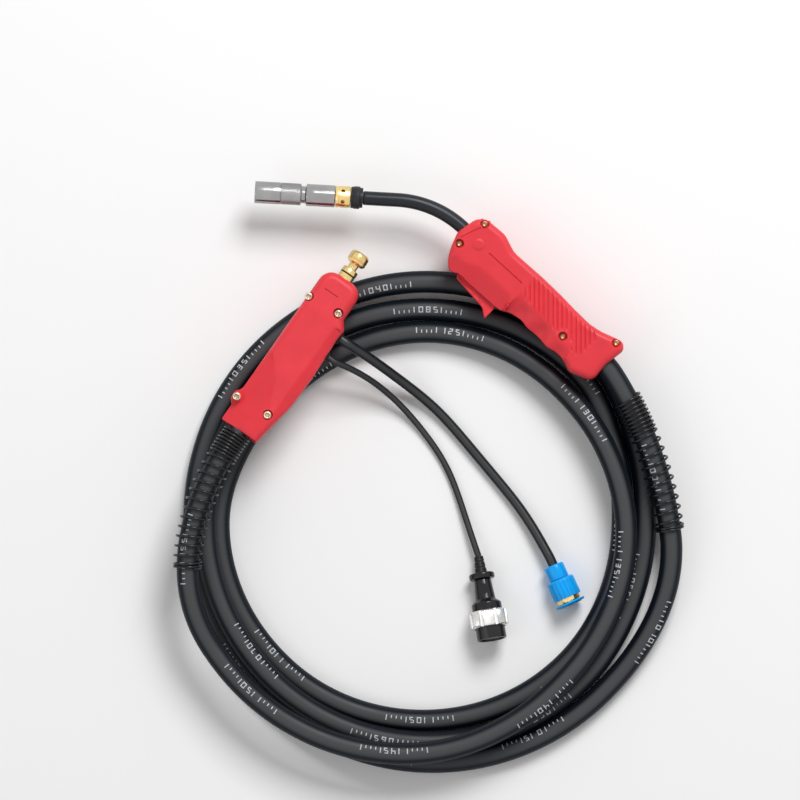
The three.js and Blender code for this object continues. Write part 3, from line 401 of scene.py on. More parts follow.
def lathe_group() -> bpy.types.NodeTree:
    """Fine rings left by a cutting tool, which follow the piece's own map.

    Returns:
        A group with Pitch in millimetres, which gives Height from 0 to 1.
    """
    tree, entry, leave = group("tool_rings", {"Pitch": 0.3}, ("Height",))
    along = tree.add("ShaderNodeUVMap", uv_map="along").outputs["UV"]
    parts = tree.add("ShaderNodeSeparateXYZ", {"Vector": along})
    turns = tree.maths("DIVIDE", parts.outputs["Y"], tree.maths("MULTIPLY", entry["Pitch"], MM))
    wobble = tree.add("ShaderNodeTexNoise", {"W": turns, "Scale": 1.0, "Detail": 2.0}, noise_dimensions="1D")
    tree.link(wobble.outputs["Fac"], leave["Height"])
    return tree.tree


def film_group() -> bpy.types.NodeTree:
    """A painted highlight: a paler colour on what faces up, in place of the soft light from above.

    Returns:
        A group with Low and High, the upward lean at which the painted highlight starts and is full, which gives
        Top.
    """
    tree, entry, leave = group("settled_film", {"Low": 0.75, "High": 1.0}, ("Top",))
    facing = tree.add("ShaderNodeTexCoord").outputs["Normal"]
    up = tree.add("ShaderNodeSeparateXYZ", {"Vector": facing}).outputs["Z"]
    inputs = {"Value": up, "From Min": entry["Low"], "From Max": entry["High"]}
    ramp = tree.add("ShaderNodeMapRange", inputs, interpolation_type="SMOOTHSTEP")
    tree.link(ramp.outputs["Result"], leave["Top"])
    return tree.tree


class Paintshop:
    """Makes each finish once, from shared node groups."""

    def __init__(self) -> None:
        """Builds the shared groups."""
        self.groups = {
            "grain": grain_group(), "marks": marks_group(), "edge": edge_group(), "rings": lathe_group(),
            "film": film_group(),
        }
        self.made: dict[str, bpy.types.Material] = {}

    def place(self, tree: NodeTree, name: str, **values: float) -> bpy.types.Node:
        """Places a shared group.

        Args:
            tree: the material's tree.
            name: the group's key.
            values: its inputs.

        Returns:
            The group node.
        """
        node = tree.add("ShaderNodeGroup", node_tree=self.groups[name])
        for key, value in values.items():
            node.inputs[key].default_value = value
        return node

    def get(self, name: str) -> bpy.types.Material:
        """The material of a finish.

        Args:
            name: the finish's name.

        Returns:
            The material, made at the first call.
        """
        if name not in self.made:
            self.made[name] = self.mix(FINISHES[name])
        return self.made[name]

    def mix(self, finish: Finish) -> bpy.types.Material:
        """Builds a material.

        Args:
            finish: what it looks like.

        Returns:
            The material.
        """
        material = bpy.data.materials.new(finish.name)
        material.use_nodes = True
        tree = NodeTree(material.node_tree)
        shader = material.node_tree.nodes["Principled BSDF"]
        shader.inputs["Metallic"].default_value = finish.metallic
        shader.inputs["Specular IOR Level"].default_value = finish.gloss
        grain = self.place(tree, "grain", Size=finish.grain_size)
        marks = self.place(tree, "marks", Amount=0.5 if finish.metallic else 0.3)
        tone = grain.outputs["Tone"]
        dark = tuple(part * (1 - finish.unevenness) for part in finish.colour)
        colour = self.blend(tree, tone, dark, finish.colour)
        if finish.wear:
            # rubbed edges are lightened as real wear; hollow corners are darkened as painted shade
            edge = self.place(tree, "edge", Contrast=5.0)
            light = tuple(part + (1 - part) * 0.35 for part in finish.colour)
            deep = tuple(part * 0.55 for part in finish.colour)
            lift = tree.maths("MULTIPLY", edge.outputs["Edge"], finish.wear)
            colour = self.blend(tree, lift, colour, light)
            # painted shade: hollow corners darkened where shade falls
            colour = self.blend(tree, tree.maths("MULTIPLY", edge.outputs["Crevice"], 0.6), colour, deep)
        # painted highlight: what faces up is painted paler, in place of the broad soft top light
        if finish.film:
            top = self.place(tree, "film", Low=0.74, High=0.99).outputs["Top"]
            colour = self.blend(tree, top, colour, tuple(part + finish.film for part in finish.colour))
        dust = tuple(part * 0.7 + 0.25 for part in finish.colour)
        colour = self.blend(tree, tree.maths("MULTIPLY", marks.outputs["Dust"], 0.25), colour, dust)
        tree.link(colour, shader.inputs["Base Color"])
        spread = 0.18 * finish.unevenness + 0.03
        rough = tree.spread(tone, 0.0, 1.0, finish.roughness - spread, finish.roughness + spread)
        rough = tree.maths("ADD", rough, tree.maths("MULTIPLY", marks.outputs["Scratch"], 0.25))
        tree.link(rough, shader.inputs["Roughness"])
        height = grain.outputs["Height"]
        if finish.grain is Grain.TURNED:
            rings = self.place(tree, "rings", Pitch=0.25)
            height = tree.maths("ADD", tree.maths("MULTIPLY", height, 0.3), rings.outputs["Height"])
        bump = tree.add("ShaderNodeBump", {"Height": height, "Strength": 0.6, "Distance": finish.relief * MM})
        tree.link(bump.outputs["Normal"], shader.inputs["Normal"])
        return material

    def blend(self, tree: NodeTree, amount: object, first: object, second: object) -> bpy.types.NodeSocket:
        """Mixes two colours.

        Args:
            tree: the material's tree.
            amount: the second colour's share.
            first: a colour or a socket.
            second: a colour or a socket.

        Returns:
            The mixed colour.
        """
        node = tree.add("ShaderNodeMix", data_type="RGBA")
        tree.link(amount, node.inputs["Factor"])
        for key, value in ((6, first), (7, second)):
            if isinstance(value, bpy.types.NodeSocket):
                tree.link(value, node.inputs[key])
            else:
                node.inputs[key].default_value = (*value, 1.0)
        return node.outputs[2]


# ---- Shapes ----


@dataclass
class Shape:
    """A mesh in the making: points, faces, and a map's coordinates for each corner of each face."""

    points: Points
    faces: list[tuple[int, ...]]
    map: list[tuple[float, float]] = field(default_factory=list)

    def placed(self, place: Place) -> "Shape":
        """The same shape in metres in the model's frame."""
        return Shape(place.put(self.points), self.faces, self.map)

    def moved(self, x: float = 0.0, y: float = 0.0, z: float = 0.0) -> "Shape":
        """The same shape, shifted."""
        return Shape(self.points + np.array([x, y, z]), self.faces, self.map)

    def turned(self, first: int, second: int, degrees: float) -> "Shape":
        """The same shape, turned from one axis towards another.

        Args:
            first: the axis it turns from.
            second: the axis it turns towards.
            degrees: how far.

        Returns:
            The shape.
        """
        angle = math.radians(degrees)
        points = self.points.copy()
        a, b = self.points[:, first], self.points[:, second]
        points[:, first] = a * math.cos(angle) - b * math.sin(angle)
        points[:, second] = a * math.sin(angle) + b * math.cos(angle)
        return Shape(points, self.faces, self.map)


def joined(shapes: Iterable[Shape]) -> Shape:
    """Several shapes as one.

    Args:
        shapes: what is joined.

    Returns:
        The shape.
    """
    points, faces, corners, start = [], [], [], 0
    for shape in shapes:
        points.append(shape.points)
        faces += [tuple(corner + start for corner in face) for face in shape.faces]
        corners += shape.map
        start += len(shape.points)
    return Shape(np.vstack(points), faces, corners)


def level_frames(line: Points) -> tuple[Points, Points]:
    """Directions across a line that stays near the level.

    Args:
        line: its points.

    Returns:
        For each point the direction to the side, and the one upwards.
    """
    along = np.gradient(line, axis=0)
    along /= np.linalg.norm(along, axis=1)[:, None]
    side = np.cross(along, np.array([0.0, 0.0, 1.0]))
    side /= np.linalg.norm(side, axis=1)[:, None]
    return side, np.cross(side, along)


def lengths(line: Points) -> Points:
    """How far along the line each of its points is."""
    return np.concatenate([[0], np.cumsum(np.linalg.norm(np.diff(line, axis=0), axis=1))])


def evenly(line: Points, step: float) -> Points:
    """The line again, with its points about a step apart.

    Args:
        line: its points.
        step: the new spacing.

    Returns:
        The new points.
    """
    at = lengths(line)
    new = np.linspace(0, at[-1], max(2, round(at[-1] / step) + 1))
    return np.stack([np.interp(new, at, line[:, axis]) for axis in range(3)], axis=1)


def smooth_line(points: Sequence[Sequence[float]], steps: int = 12) -> Points:
    """A smooth line through given points (a centripetal Catmull-Rom curve).

    Args:
        points: what it goes through.
        steps: points on each stretch.

    Returns:
        The line's points.
    """
    given = np.array(points, float)
    knots = np.vstack([2 * given[0] - given[1], given, 2 * given[-1] - given[-2]])
    line = []
    for a, b, c, d in zip(knots, knots[1:], knots[2:], knots[3:]):
        gaps = [np.linalg.norm(q - p) ** 0.5 for p, q in ((a, b), (b, c), (c, d))]
        out_b = ((b - a) / gaps[0] - (c - a) / (gaps[0] + gaps[1]) + (c - b) / gaps[1]) * gaps[1]
        out_c = ((c - b) / gaps[1] - (d - b) / (gaps[1] + gaps[2]) + (d - c) / gaps[2]) * gaps[1]
        t = np.linspace(0, 1, steps, endpoint=False)[:, None]
        line.append(
            (2 * t**3 - 3 * t**2 + 1) * b + (t**3 - 2 * t**2 + t) * out_b
            + (3 * t**2 - 2 * t**3) * c + (t**3 - t**2) * out_c
        )
    return np.vstack([*line, given[-1:]])


def relaxed(line: Points, rounds: int, held: int) -> Points:
    """Evens small kinks out of a line.

    Args:
        line: its points, evenly spaced.
        rounds: how often each point moves towards its neighbours' middle.
        held: how many points at each end stay.

    Returns:
        The points.
    """
    points = line.copy()
    for _ in range(rounds):
        before, after = points[held - 1 : -held - 1], points[held + 1 : -held + 1]
        points[held:-held] = (before + 2 * points[held:-held] + after) / 4
    return points


def skin(rings: Points, close: bool = True, along: Points | None = None) -> Shape:
    """A tube over rings of points, with flat ends.

    Args:
        rings: an array of rings by sides by three.
        close: whether it gets ends.
        along: how far along each ring is, for the map.

    Returns:
        The shape.
    """
    count, sides = rings.shape[:2]
    far = lengths(rings.mean(axis=1)) if along is None else along
    faces, corners = [], []
    for ring in range(count - 1):
        for side in range(sides):
            after = (side + 1) % sides
            base = ring * sides
            faces.append((base + side, base + after, base + sides + after, base + sides + side))
            low, high = side / sides, (side + 1) / sides
            corners += [(low, far[ring]), (high, far[ring]), (high, far[ring + 1]), (low, far[ring + 1])]
    if close:
        last = (count - 1) * sides
        faces.append(tuple(reversed(range(sides))))
        faces.append(tuple(range(last, last + sides)))
        corners += [(0.0, far[0])] * sides + [(0.0, far[-1])] * sides
    return Shape(rings.reshape(-1, 3), faces, corners)


def sweep(line: Points, radius: float | Points, sides: int) -> Shape:
    """A round tube along a line.

    Args:
        line: its centreline.
        radius: its radius, or one for each point.
        sides: how many sides it has.

    Returns:
        The shape, with its map in turns and in metres along.
    """
    side, up = level_frames(line)
    angle = np.arange(sides) * 2 * math.pi / sides
    across = side[:, None] * np.sin(angle)[None, :, None] - up[:, None] * np.cos(angle)[None, :, None]
    size = np.broadcast_to(np.reshape(radius, (-1, 1)), (len(line), sides))
    rings = line[:, None] + across * size[:, :, None]
    return skin(rings, along=lengths(line) * MM)


def rounded(profile: Sequence[tuple[float, float]], radius: float,
            steps: int = 4) -> list[tuple[float, float]]:
    """A profile with its corners rounded, but for its two ends.

    Args:
        profile: its corners.
        radius: of the rounding, which a short side makes smaller.
        steps: points in each corner.

    Returns:
        The rounded profile.
    """
    points = [np.array(point, float) for point in profile]
    made = [tuple(points[0])]
    for before, corner, after in zip(points, points[1:], points[2:]):
        to_before, to_after = before - corner, after - corner
        long_before, long_after = np.linalg.norm(to_before), np.linalg.norm(to_after)
        cosine = np.clip(to_before @ to_after / (long_before * long_after), -1, 1)
        half = math.acos(cosine) / 2
        reach = min(radius / max(math.tan(half), 1e-3), 0.48 * long_before, 0.48 * long_after)
        start, end = corner + to_before / long_before * reach, corner + to_after / long_after * reach
        for share in np.linspace(0, 1, steps + 1):
            made.append(tuple((1 - share) ** 2 * start + 2 * share * (1 - share) * corner + share**2 * end))
    made.append(tuple(points[-1]))
    return made


def lathe(
    profile: Sequence[tuple[float, float]],
    sides: int = 64,
    form: Callable[[Points, Points, Points], Points] | None = None,
) -> Shape:
    """A body turned about x.

    Args:
        profile: [along, radius] points. It starts and ends on the axis, or it closes on itself.
        sides: how many sides it has.
        form: gives the radius from (along, radius, angle), for lobes, knurls and slots.

    Returns:
        The shape.
    """
    outline = np.array(profile, float)
    hollow = bool((outline[:, 1] > 0).all())
    if hollow:
        outline = np.vstack([outline, outline[:1]])
    angle = np.arange(sides) * 2 * math.pi / sides
    along = np.repeat(outline[:, 0][:, None], sides, axis=1)
    radius = np.repeat(outline[:, 1][:, None], sides, axis=1)
    if form is not None:
        radius = form(along, radius, np.broadcast_to(angle, along.shape))
    rings = np.stack([along, radius * np.cos(angle), radius * np.sin(angle)], axis=2)
    return skin(rings, close=False, along=lengths(np.column_stack([outline, np.zeros(len(outline))])) * MM)


def prism(outline: Sequence[tuple[float, float]], low: float, high: float) -> Shape:
    """An upright block with that outline in x and y.

    Args:
        outline: its corners.
        low: its bottom.
        high: its top.

    Returns:
        The shape.
    """
    count = len(outline)
    points = np.array([(x, y, z) for z in (low, high) for x, y in outline], float)
    faces = [tuple(reversed(range(count))), tuple(range(count, 2 * count))]
    for one in range(count):
        after = (one + 1) % count
        faces.append((one, after, count + after, count + one))
    return Shape(points, faces)


def circle(x: float, y: float, radius: float, sides: int = 32) -> list[tuple[float, float]]:
    """Points round a circle."""
    angles = np.arange(sides) * 2 * math.pi / sides
    return [(x + radius * math.cos(a), y + radius * math.sin(a)) for a in angles]


class Bench:
    """Turns shapes into finished pieces of the model."""

    def __init__(self, paint: Paintshop) -> None:
        """Keeps the materials.

        Args:
            paint: where they come from.
        """
        self.paint = paint

    def mesh(self, name: str, shape: Shape, merge: bool = True) -> bpy.types.Object:
        """Makes a bare object.

        Args:
            name: its name.
            shape: its points and faces, in metres in the model's frame.
            merge: whether doubles are merged and normals made to point outwards.

        Returns:
            The object.
        """
        data = bpy.data.meshes.new(name)
        data.from_pydata(shape.points.tolist(), [], shape.faces)
        if shape.map:
            data.uv_layers.new(name="along").data.foreach_set("uv", np.array(shape.map, np.float32).ravel())
        if merge:
            body = bmesh.new()
            body.from_mesh(data)
            bmesh.ops.remove_doubles(body, verts=body.verts, dist=1e-7)
            bmesh.ops.dissolve_degenerate(body, dist=1e-8, edges=body.edges)
            bmesh.ops.recalc_face_normals(body, faces=body.faces)
            body.to_mesh(data)
            body.free()
        made = bpy.data.objects.new(name, data)
        bpy.context.scene.collection.objects.link(made)
        return made

    def applied(self, piece: bpy.types.Object) -> bpy.types.Object:
        """Puts the modifiers' result in the piece and takes the modifiers away.

        Args:
            piece: the object.

        Returns:
            The same object.
        """
        evaluated = piece.evaluated_get(bpy.context.evaluated_depsgraph_get())
        data = bpy.data.meshes.new_from_object(evaluated)
        piece.modifiers.clear()
        old = piece.data
        piece.data = data
        data.name = piece.name
        if old.users == 0:
            bpy.data.meshes.remove(old)
        return piece

    def cut(self, piece: bpy.types.Object, tools: Sequence[Shape]) -> None:
        """Cuts shapes out of a piece.

        Args:
            piece: the object.
            tools: what is cut away, in metres in the model's frame.
        """
        for number, tool in enumerate(tools):
            cutter = self.mesh(f"{piece.name}_tool_{number}", tool)
            cutting = piece.modifiers.new("cut", "BOOLEAN")
            cutting.object = cutter
            cutting.solver = "EXACT"
            self.applied(piece)
            bpy.data.objects.remove(cutter)

    def finish(
        self,
        piece: bpy.types.Object,
        finish: str,
        body: str = "root",
        stands_for: Sequence[str] = (),
        crease: float = 32.0,
    ) -> bpy.types.Object:
        """Smooths, paints and hangs a piece on its body.

        Args:
            piece: the object.
            finish: the finish's name.
            body: the body that carries it.
            stands_for: the model's nodes that it replaces.
            crease: the angle from which an edge stays sharp.

        Returns:
            The piece.
        """
        data = piece.data
        data.materials.clear()
        data.materials.append(self.paint.get(finish))
        data.polygons.foreach_set("use_smooth", [True] * len(data.polygons))
        data.set_sharp_from_angle(angle=math.radians(crease))
        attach(piece, body)
        if stands_for:
            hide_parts(*stands_for)
        LOG.info("%s: %d faces, %s", piece.name, len(data.polygons), finish)
        return piece

    def piece(
        self,
        name: str,
        shape: Shape,
        place: Place,
        finish: str,
        body: str = "root",
        stands_for: Sequence[str] = (),
        tools: Sequence[Shape] = (),
        crease: float = 32.0,
    ) -> bpy.types.Object:
        """Makes a whole piece from a shape in a sub-assembly's axes.

        Args:
            name: its name.
            shape: its form, in millimetres.
            place: the axes that the shape is in.
            finish: the finish's name.
            body: the body that carries it.
            stands_for: the model's nodes that it replaces.
            tools: what is cut out of it.
            crease: the angle from which an edge stays sharp.

        Returns:
            The piece.
        """
        made = self.mesh(name, shape.placed(place))
        self.cut(made, [tool.placed(place) for tool in tools])
        return self.finish(made, finish, body, stands_for, crease)

    def tube(
        self, name: str, line: Points, radius: float, sides: int, finish: str, node: str
    ) -> bpy.types.Object:
        """Makes a cord's round tube.

        Args:
            name: its name.
            line: its middle, in metres.
            radius: its radius, in millimetres.
            sides: how many sides it has.
            finish: the finish's name.
            node: the model's node that it replaces.

        Returns:
            The piece.
        """
        shape = sweep(line / MM, radius, sides)
        made = self.mesh(name, Shape(shape.points * MM, shape.faces, shape.map))
        return self.finish(made, finish, "root", [node])


# ---- Mouldings ----


def inside(points: Points, outline: Points) -> Points:
    """Which points lie inside an outline.

    Args:
        points: x and y of each.
        outline: its corners.

    Returns:
        True or False for each point.
    """
    x, y = points[:, 0][:, None], points[:, 1][:, None]
    a, b = outline, np.roll(outline, -1, axis=0)
    rise = b[:, 1] - a[:, 1]
    rise = np.where(rise == 0, 1e-12, rise)
    crosses = ((a[:, 1] > y) != (b[:, 1] > y)) & (x < (b[:, 0] - a[:, 0]) * (y - a[:, 1]) / rise + a[:, 0])
    return crosses.sum(axis=1) % 2 == 1


def distance(points: Points, starts: Points, ends: Points) -> Points:
    """How far each point is from the nearest of some stretches.

    Args:
        points: x and y of each.
        starts: where each stretch starts.
        ends: where it ends.

    Returns:
        The distances.
    """
    best = np.full(len(points), np.inf)
    for a, b in zip(starts, ends):
        run = b - a
        share = np.clip((points - a) @ run / max(run @ run, 1e-12), 0, 1)
        best = np.minimum(best, np.linalg.norm(points - a - share[:, None] * run, axis=1))
    return best


def eased(
    outline: Sequence[tuple[float, float]],
    reach: float,
    steps: int = 5,
    nose: tuple[float, float] = (math.inf, 0.0),
) -> Points:
    """A closed outline with its corners rounded.

    Args:
        outline: its corners.
        reach: how far from a corner its rounding starts, which a short side makes smaller.
        steps: points in each corner.
        nose: from which x on the corners are rounder, and their reach.

    Returns:
        The rounded outline.
    """
    points = np.array(outline, float)
    made = []
    for before, corner, after in zip(np.roll(points, 1, axis=0), points, np.roll(points, -1, axis=0)):
        to_before, to_after = before - corner, after - corner
        long_before, long_after = np.linalg.norm(to_before), np.linalg.norm(to_after)
        carry = nose[1] if corner[0] > nose[0] else reach
        start = corner + to_before / long_before * min(carry, 0.48 * long_before)
        end = corner + to_after / long_after * min(carry, 0.48 * long_after)
        t = np.linspace(0, 1, steps + 1)[:, None]
        made.append((1 - t) ** 2 * start + 2 * t * (1 - t) * corner + t**2 * end)
    return np.vstack(made)


def dense(outline: Points, step: float) -> Points:
    """An outline with points at most a step apart.

    Args:
        outline: its corners.
        step: the widest spacing.

    Returns:
        The points.
    """
    made = []
    for a, b in zip(outline, np.roll(outline, -1, axis=0)):
        count = max(1, math.ceil(np.linalg.norm(b - a) / step))
        made += [a + (b - a) * number / count for number in range(count)]
    return np.array(made)


def step_up(value: Points, low: float, high: float) -> Points:
    """0 below low, 1 above high, and smooth between them."""
    t = np.clip((value - low) / (high - low), 0, 1)
    return t * t * (3 - 2 * t)


def level_at(height: float) -> Callable[[Points, Points], Points]:
    """The height of a level terrace."""
    return lambda plan, away: np.full(len(plan), height)


@dataclass
class Terrace:
    """A patch of a moulding that lies at a height of its own: a recess, an engraved line or a boss."""

    outline: Points
    height: Callable[[Points, Points], Points]


@dataclass
class Moulding:
    """One half of a shell: a plan, and the height of its skin over the parting plane.

    The height function takes points and their distance from the plan's edge. The foot gives how high the
    wall ends over the parting plane, so that openings in the side are arches or slots in the wall.
    """

    plan: Points
    height: Callable[[Points, Points], Points]
    foot: Callable[[Points], Points]
    terraces: list[Terrace]
    pitch: tuple[float, float] = (1.5, 1.5)
    lean: float = 0.0
    fine: Points | None = None
    fine_pitch: tuple[float, float] = (0.6, 1.4)
    rows: int = 4

    def grid(self, pitch: tuple[float, float], low: Points, high: Points) -> Points:
        """Points of a leaning grid over a box.

        Args:
            pitch: the spacing each way.
            low: the box's lowest corner.
            high: its highest corner.

        Returns:
            The points.
        """
        centre, reach = (low + high) / 2, np.linalg.norm(high - low) / 2
        first = np.arange(-reach, reach, pitch[0])
        second = np.arange(-reach, reach, pitch[1])
        a, b = np.meshgrid(first, second)
        turn = math.radians(self.lean)
        return centre + np.column_stack([
            (a * math.cos(turn) - b * math.sin(turn)).ravel(),
            (a * math.sin(turn) + b * math.cos(turn)).ravel(),
        ])

    def scatter(self, starts: Points, ends: Points) -> Points:
        """The points inside the plan that the skin is drawn over.

        Args:
            starts: where each stretch of the edge starts.
            ends: where it ends.

        Returns:
            The points.
        """
        low, high = starts.min(axis=0), starts.max(axis=0)
        coarse = self.grid(self.pitch, low, high)
        if self.fine is not None:
            held = self.grid(self.fine_pitch, self.fine.min(axis=0), self.fine.max(axis=0))
            held = held[inside(held, self.fine)]
            coarse = np.vstack([coarse[~inside(coarse, self.fine)], held])
        coarse = coarse[inside(coarse, self.plan)]
        coarse = coarse[distance(coarse, starts, ends) > 1.1]
        rims = []
        normal = np.column_stack([ends[:, 1] - starts[:, 1], starts[:, 0] - ends[:, 0]])
        normal /= np.linalg.norm(normal, axis=1)[:, None]
        for off in (0.12, 0.4, 0.8):
            for way in (1, -1):
                ring = (starts + ends) / 2 + normal * off * way
                ring = ring[inside(ring, self.plan)]
                rims.append(ring[distance(ring, starts, ends) > 0.9 * off])
        points = np.vstack([coarse, *rims])
        for terrace in self.terraces:
            around = np.roll(terrace.outline, -1, axis=0)
            points = points[distance(points, terrace.outline, around) > 0.25]
        return points

    def skin(self) -> Shape:
        """The outer surface, open at the parting plane, in x, y and height.

        Returns:
            The shape.
        """
        starts, ends = self.plan, np.roll(self.plan, -1, axis=0)
        loops = [self.plan, *(terrace.outline for terrace in self.terraces)]
        points, edges = [], []
        for loop in loops:
            first = len(points)
            points += [tuple(point) for point in loop]
            edges += [(first + one, first + (one + 1) % len(loop)) for one in range(len(loop))]
        points += [tuple(point) for point in self.scatter(starts, ends)]
        vectors = [Vector(point) for point in points]
        flat, _, faces, *_ = geometry.delaunay_2d_cdt(vectors, edges, [], 0, 1e-5, False)
        plan = np.array([tuple(point) for point in flat])
        centres = np.array([plan[list(face)].mean(axis=0) for face in faces])
        kept = inside(centres, self.plan)
        level = np.zeros(len(faces), int)
        for number, terrace in enumerate(self.terraces, 1):
            level[inside(centres, terrace.outline)] = number
        away = distance(plan, starts, ends)
        away[away < 1e-4] = 0
        heights = [self.height(plan, away)]
        heights += [terrace.height(plan, away) for terrace in self.terraces]
        return self.raised(plan, [(face, level[number]) for number, face in enumerate(faces) if kept[number]],
                           heights)

    def raised(self, plan: Points, faces: list[tuple[Sequence[int], int]], heights: list[Points]) -> Shape:
        """Lifts the plan's faces to their levels and joins the levels with walls.

        Args:
            plan: the points' x and y.
            faces: each face's corners and level.
            heights: for each level the height of every point.

        Returns:
            The shape.
        """
        made: dict[tuple, int] = {}
        points: list[tuple[float, float, float]] = []

        def at(corner: int, level: int, z: float | None = None) -> int:
            """The number of the point over a corner of the plan.

            Args:
                corner: the corner's number.
                level: the level that gives its height.
                z: its height, if it is given.

            Returns:
                The point's number.
            """
            height = heights[level][corner] if z is None else z
            key = (corner, round(float(height), 5))
            if key not in made:
                made[key] = len(points)
                points.append((*plan[corner], float(height)))
            return made[key]

        sides: dict[tuple[int, int], list[tuple[int, int, int]]] = {}
        out = []
        for face, level in faces:
            out.append(tuple(at(corner, level) for corner in face))
            for a, b in zip(face, [*face[1:], face[0]]):
                sides.setdefault((min(a, b), max(a, b)), []).append((a, b, level))
        foot = self.foot(plan)
        for users in sides.values():
            a, b, level = users[0]
            if len(users) == 2 and users[1][2] != level:
                other = users[1][2]
                wall = (at(a, level), at(a, other), at(b, other), at(b, level))
                if len(set(wall)) > 2:
                    out.append(tuple(dict.fromkeys(wall)))
            elif len(users) == 1:
                tops = heights[level][a], heights[level][b]
                feet = min(foot[a], tops[0]), min(foot[b], tops[1])
                marks = [
                    [top + (base - top) * row / self.rows for row in range(self.rows + 1)]
                    for top, base in zip(tops, feet)
                ]
                for row in range(self.rows):
                    wall = (
                        at(a, level, marks[0][row]), at(a, level, marks[0][row + 1]),
                        at(b, level, marks[1][row + 1]), at(b, level, marks[1][row]),
                    )
                    if len(set(wall)) > 2:
                        out.append(tuple(dict.fromkeys(wall)))
        return Shape(np.array(points), out)


def rim(away: Points, half: float | Points, rise: float | Points, inset: float | Points) -> Points:
    """The height of a skin that is rounded towards its edge.

    Args:
        away: each point's distance from the edge.
        half: the full height.
        rise: how far the rounding reaches down.
        inset: how far it reaches in.

    Returns:
        The heights.
    """
    share = np.clip(1 - away / inset, 0, 1)
    return half - rise + rise * np.sqrt(np.maximum(1 - share**2, 0))


def beyond(points: Points, start: tuple[float, float], end: tuple[float, float]) -> Points:
    """How far each point lies to the right of a line that runs from one point to another."""
    run = np.array(end, float) - start
    return (run[1] * (points[:, 0] - start[0]) - run[0] * (points[:, 1] - start[1])) / np.linalg.norm(run)


def soft_min(first: Points, second: Points, width: float) -> Points:
    """The lower of two heights, with a rounded edge of about that width between them."""
    share = np.clip(0.5 + 0.5 * (second - first) / width, 0, 1)
    return second * (1 - share) + first * share - width * share * (1 - share)


def soft_max(first: Points, second: Points, width: float) -> Points:
    """The higher of two heights, with a rounded edge of about that width between them."""
    return -soft_min(-first, -second, width)


def arch(foot: Points, across: Points, radius: float, where: Points) -> Points:
    """Where a wall ends over a round hole.

    Args:
        foot: where it ended before.
        across: how far each point is from the hole's middle.
        radius: the hole's radius.
        where: which points the hole may reach.

    Returns:
        Where it ends now.
    """
    hole = np.sqrt(np.maximum(radius**2 - across**2, 0))
    return np.where(where & (np.abs(across) < radius), np.maximum(foot, hole), foot)


def halves(bench: Bench, upper: Shape, place: Place, name: str, node: str) -> None:
    """Gives both halves of a shell their walls.

    Args:
        bench: where pieces are made.
        upper: the upper half's outer surface, which the lower half mirrors.
        place: the shell's axes.
        name: the pieces' names, with a gap for the half.
        node: the names of the nodes that they replace, with the same gap.
    """
    for half, way in (("upper", 1), ("lower", -1)):
        shape = Shape(upper.points * np.array([1, 1, way]), upper.faces)
        made = bench.mesh(name.format(half), shape.placed(place))
        wall = made.modifiers.new("wall", "SOLIDIFY")
        wall.thickness = SHELL_WALL * MM
        wall.offset = -1
        wall.use_even_offset = False
        bench.applied(made)
        bench.finish(made, "red_nylon", "root", [node.format(half)], 40)


# ---- Repeats, made with geometry nodes ----


class Grower:
    """A geometry-node tree with named inputs, and what turns its result into plain meshes."""

    def __init__(self, name: str, inputs: dict[str, str]) -> None:
        """Starts the tree.

        Args:
            name: its name.
            inputs: the name and kind of each input between its geometry and its finish.
        """
        self.group = bpy.data.node_groups.new(name, "GeometryNodeTree")
        face = self.group.interface
        face.new_socket("Geometry", in_out="OUTPUT", socket_type="NodeSocketGeometry")
        self.sockets = {
            socket: face.new_socket(socket, in_out="INPUT", socket_type=f"NodeSocket{kind}").identifier
            for socket, kind in {"Geometry": "Geometry", **inputs, "Finish": "Material"}.items()
        }
        self.tree = NodeTree(self.group)
        self.entry = self.tree.add("NodeGroupInput").outputs

    def close(self, shape: bpy.types.NodeSocket) -> None:
        """Ends the tree: makes the shape real, paints it and hands it out.

        Args:
            shape: the geometry.
        """
        real = self.tree.add("GeometryNodeRealizeInstances", {"Geometry": shape})
        inputs = {"Geometry": real.outputs[0], "Material": self.entry["Finish"]}
        painted = self.tree.add("GeometryNodeSetMaterial", inputs)
        leave = self.tree.add("NodeGroupOutput")
        self.tree.link(painted.outputs[0], leave.inputs["Geometry"])

    def grow(
        self, bench: Bench, name: str, data: bpy.types.Mesh, finish: str, values: dict[str, object]
    ) -> bpy.types.Object:
        """Runs the tree on a mesh.

        Args:
            bench: where pieces are made.
            name: the piece's name.
            data: the mesh.
            finish: the finish's name.
            values: the other inputs.

        Returns:
            The result as a plain mesh.
        """
        made = bpy.data.objects.new(name, data)
        bpy.context.scene.collection.objects.link(made)
        modifier = made.modifiers.new("grown", "NODES")
        modifier.node_group = self.group
        for socket, value in {**values, "Finish": bench.paint.get(finish)}.items():
            modifier[self.sockets[socket]] = value
        return bench.applied(made)


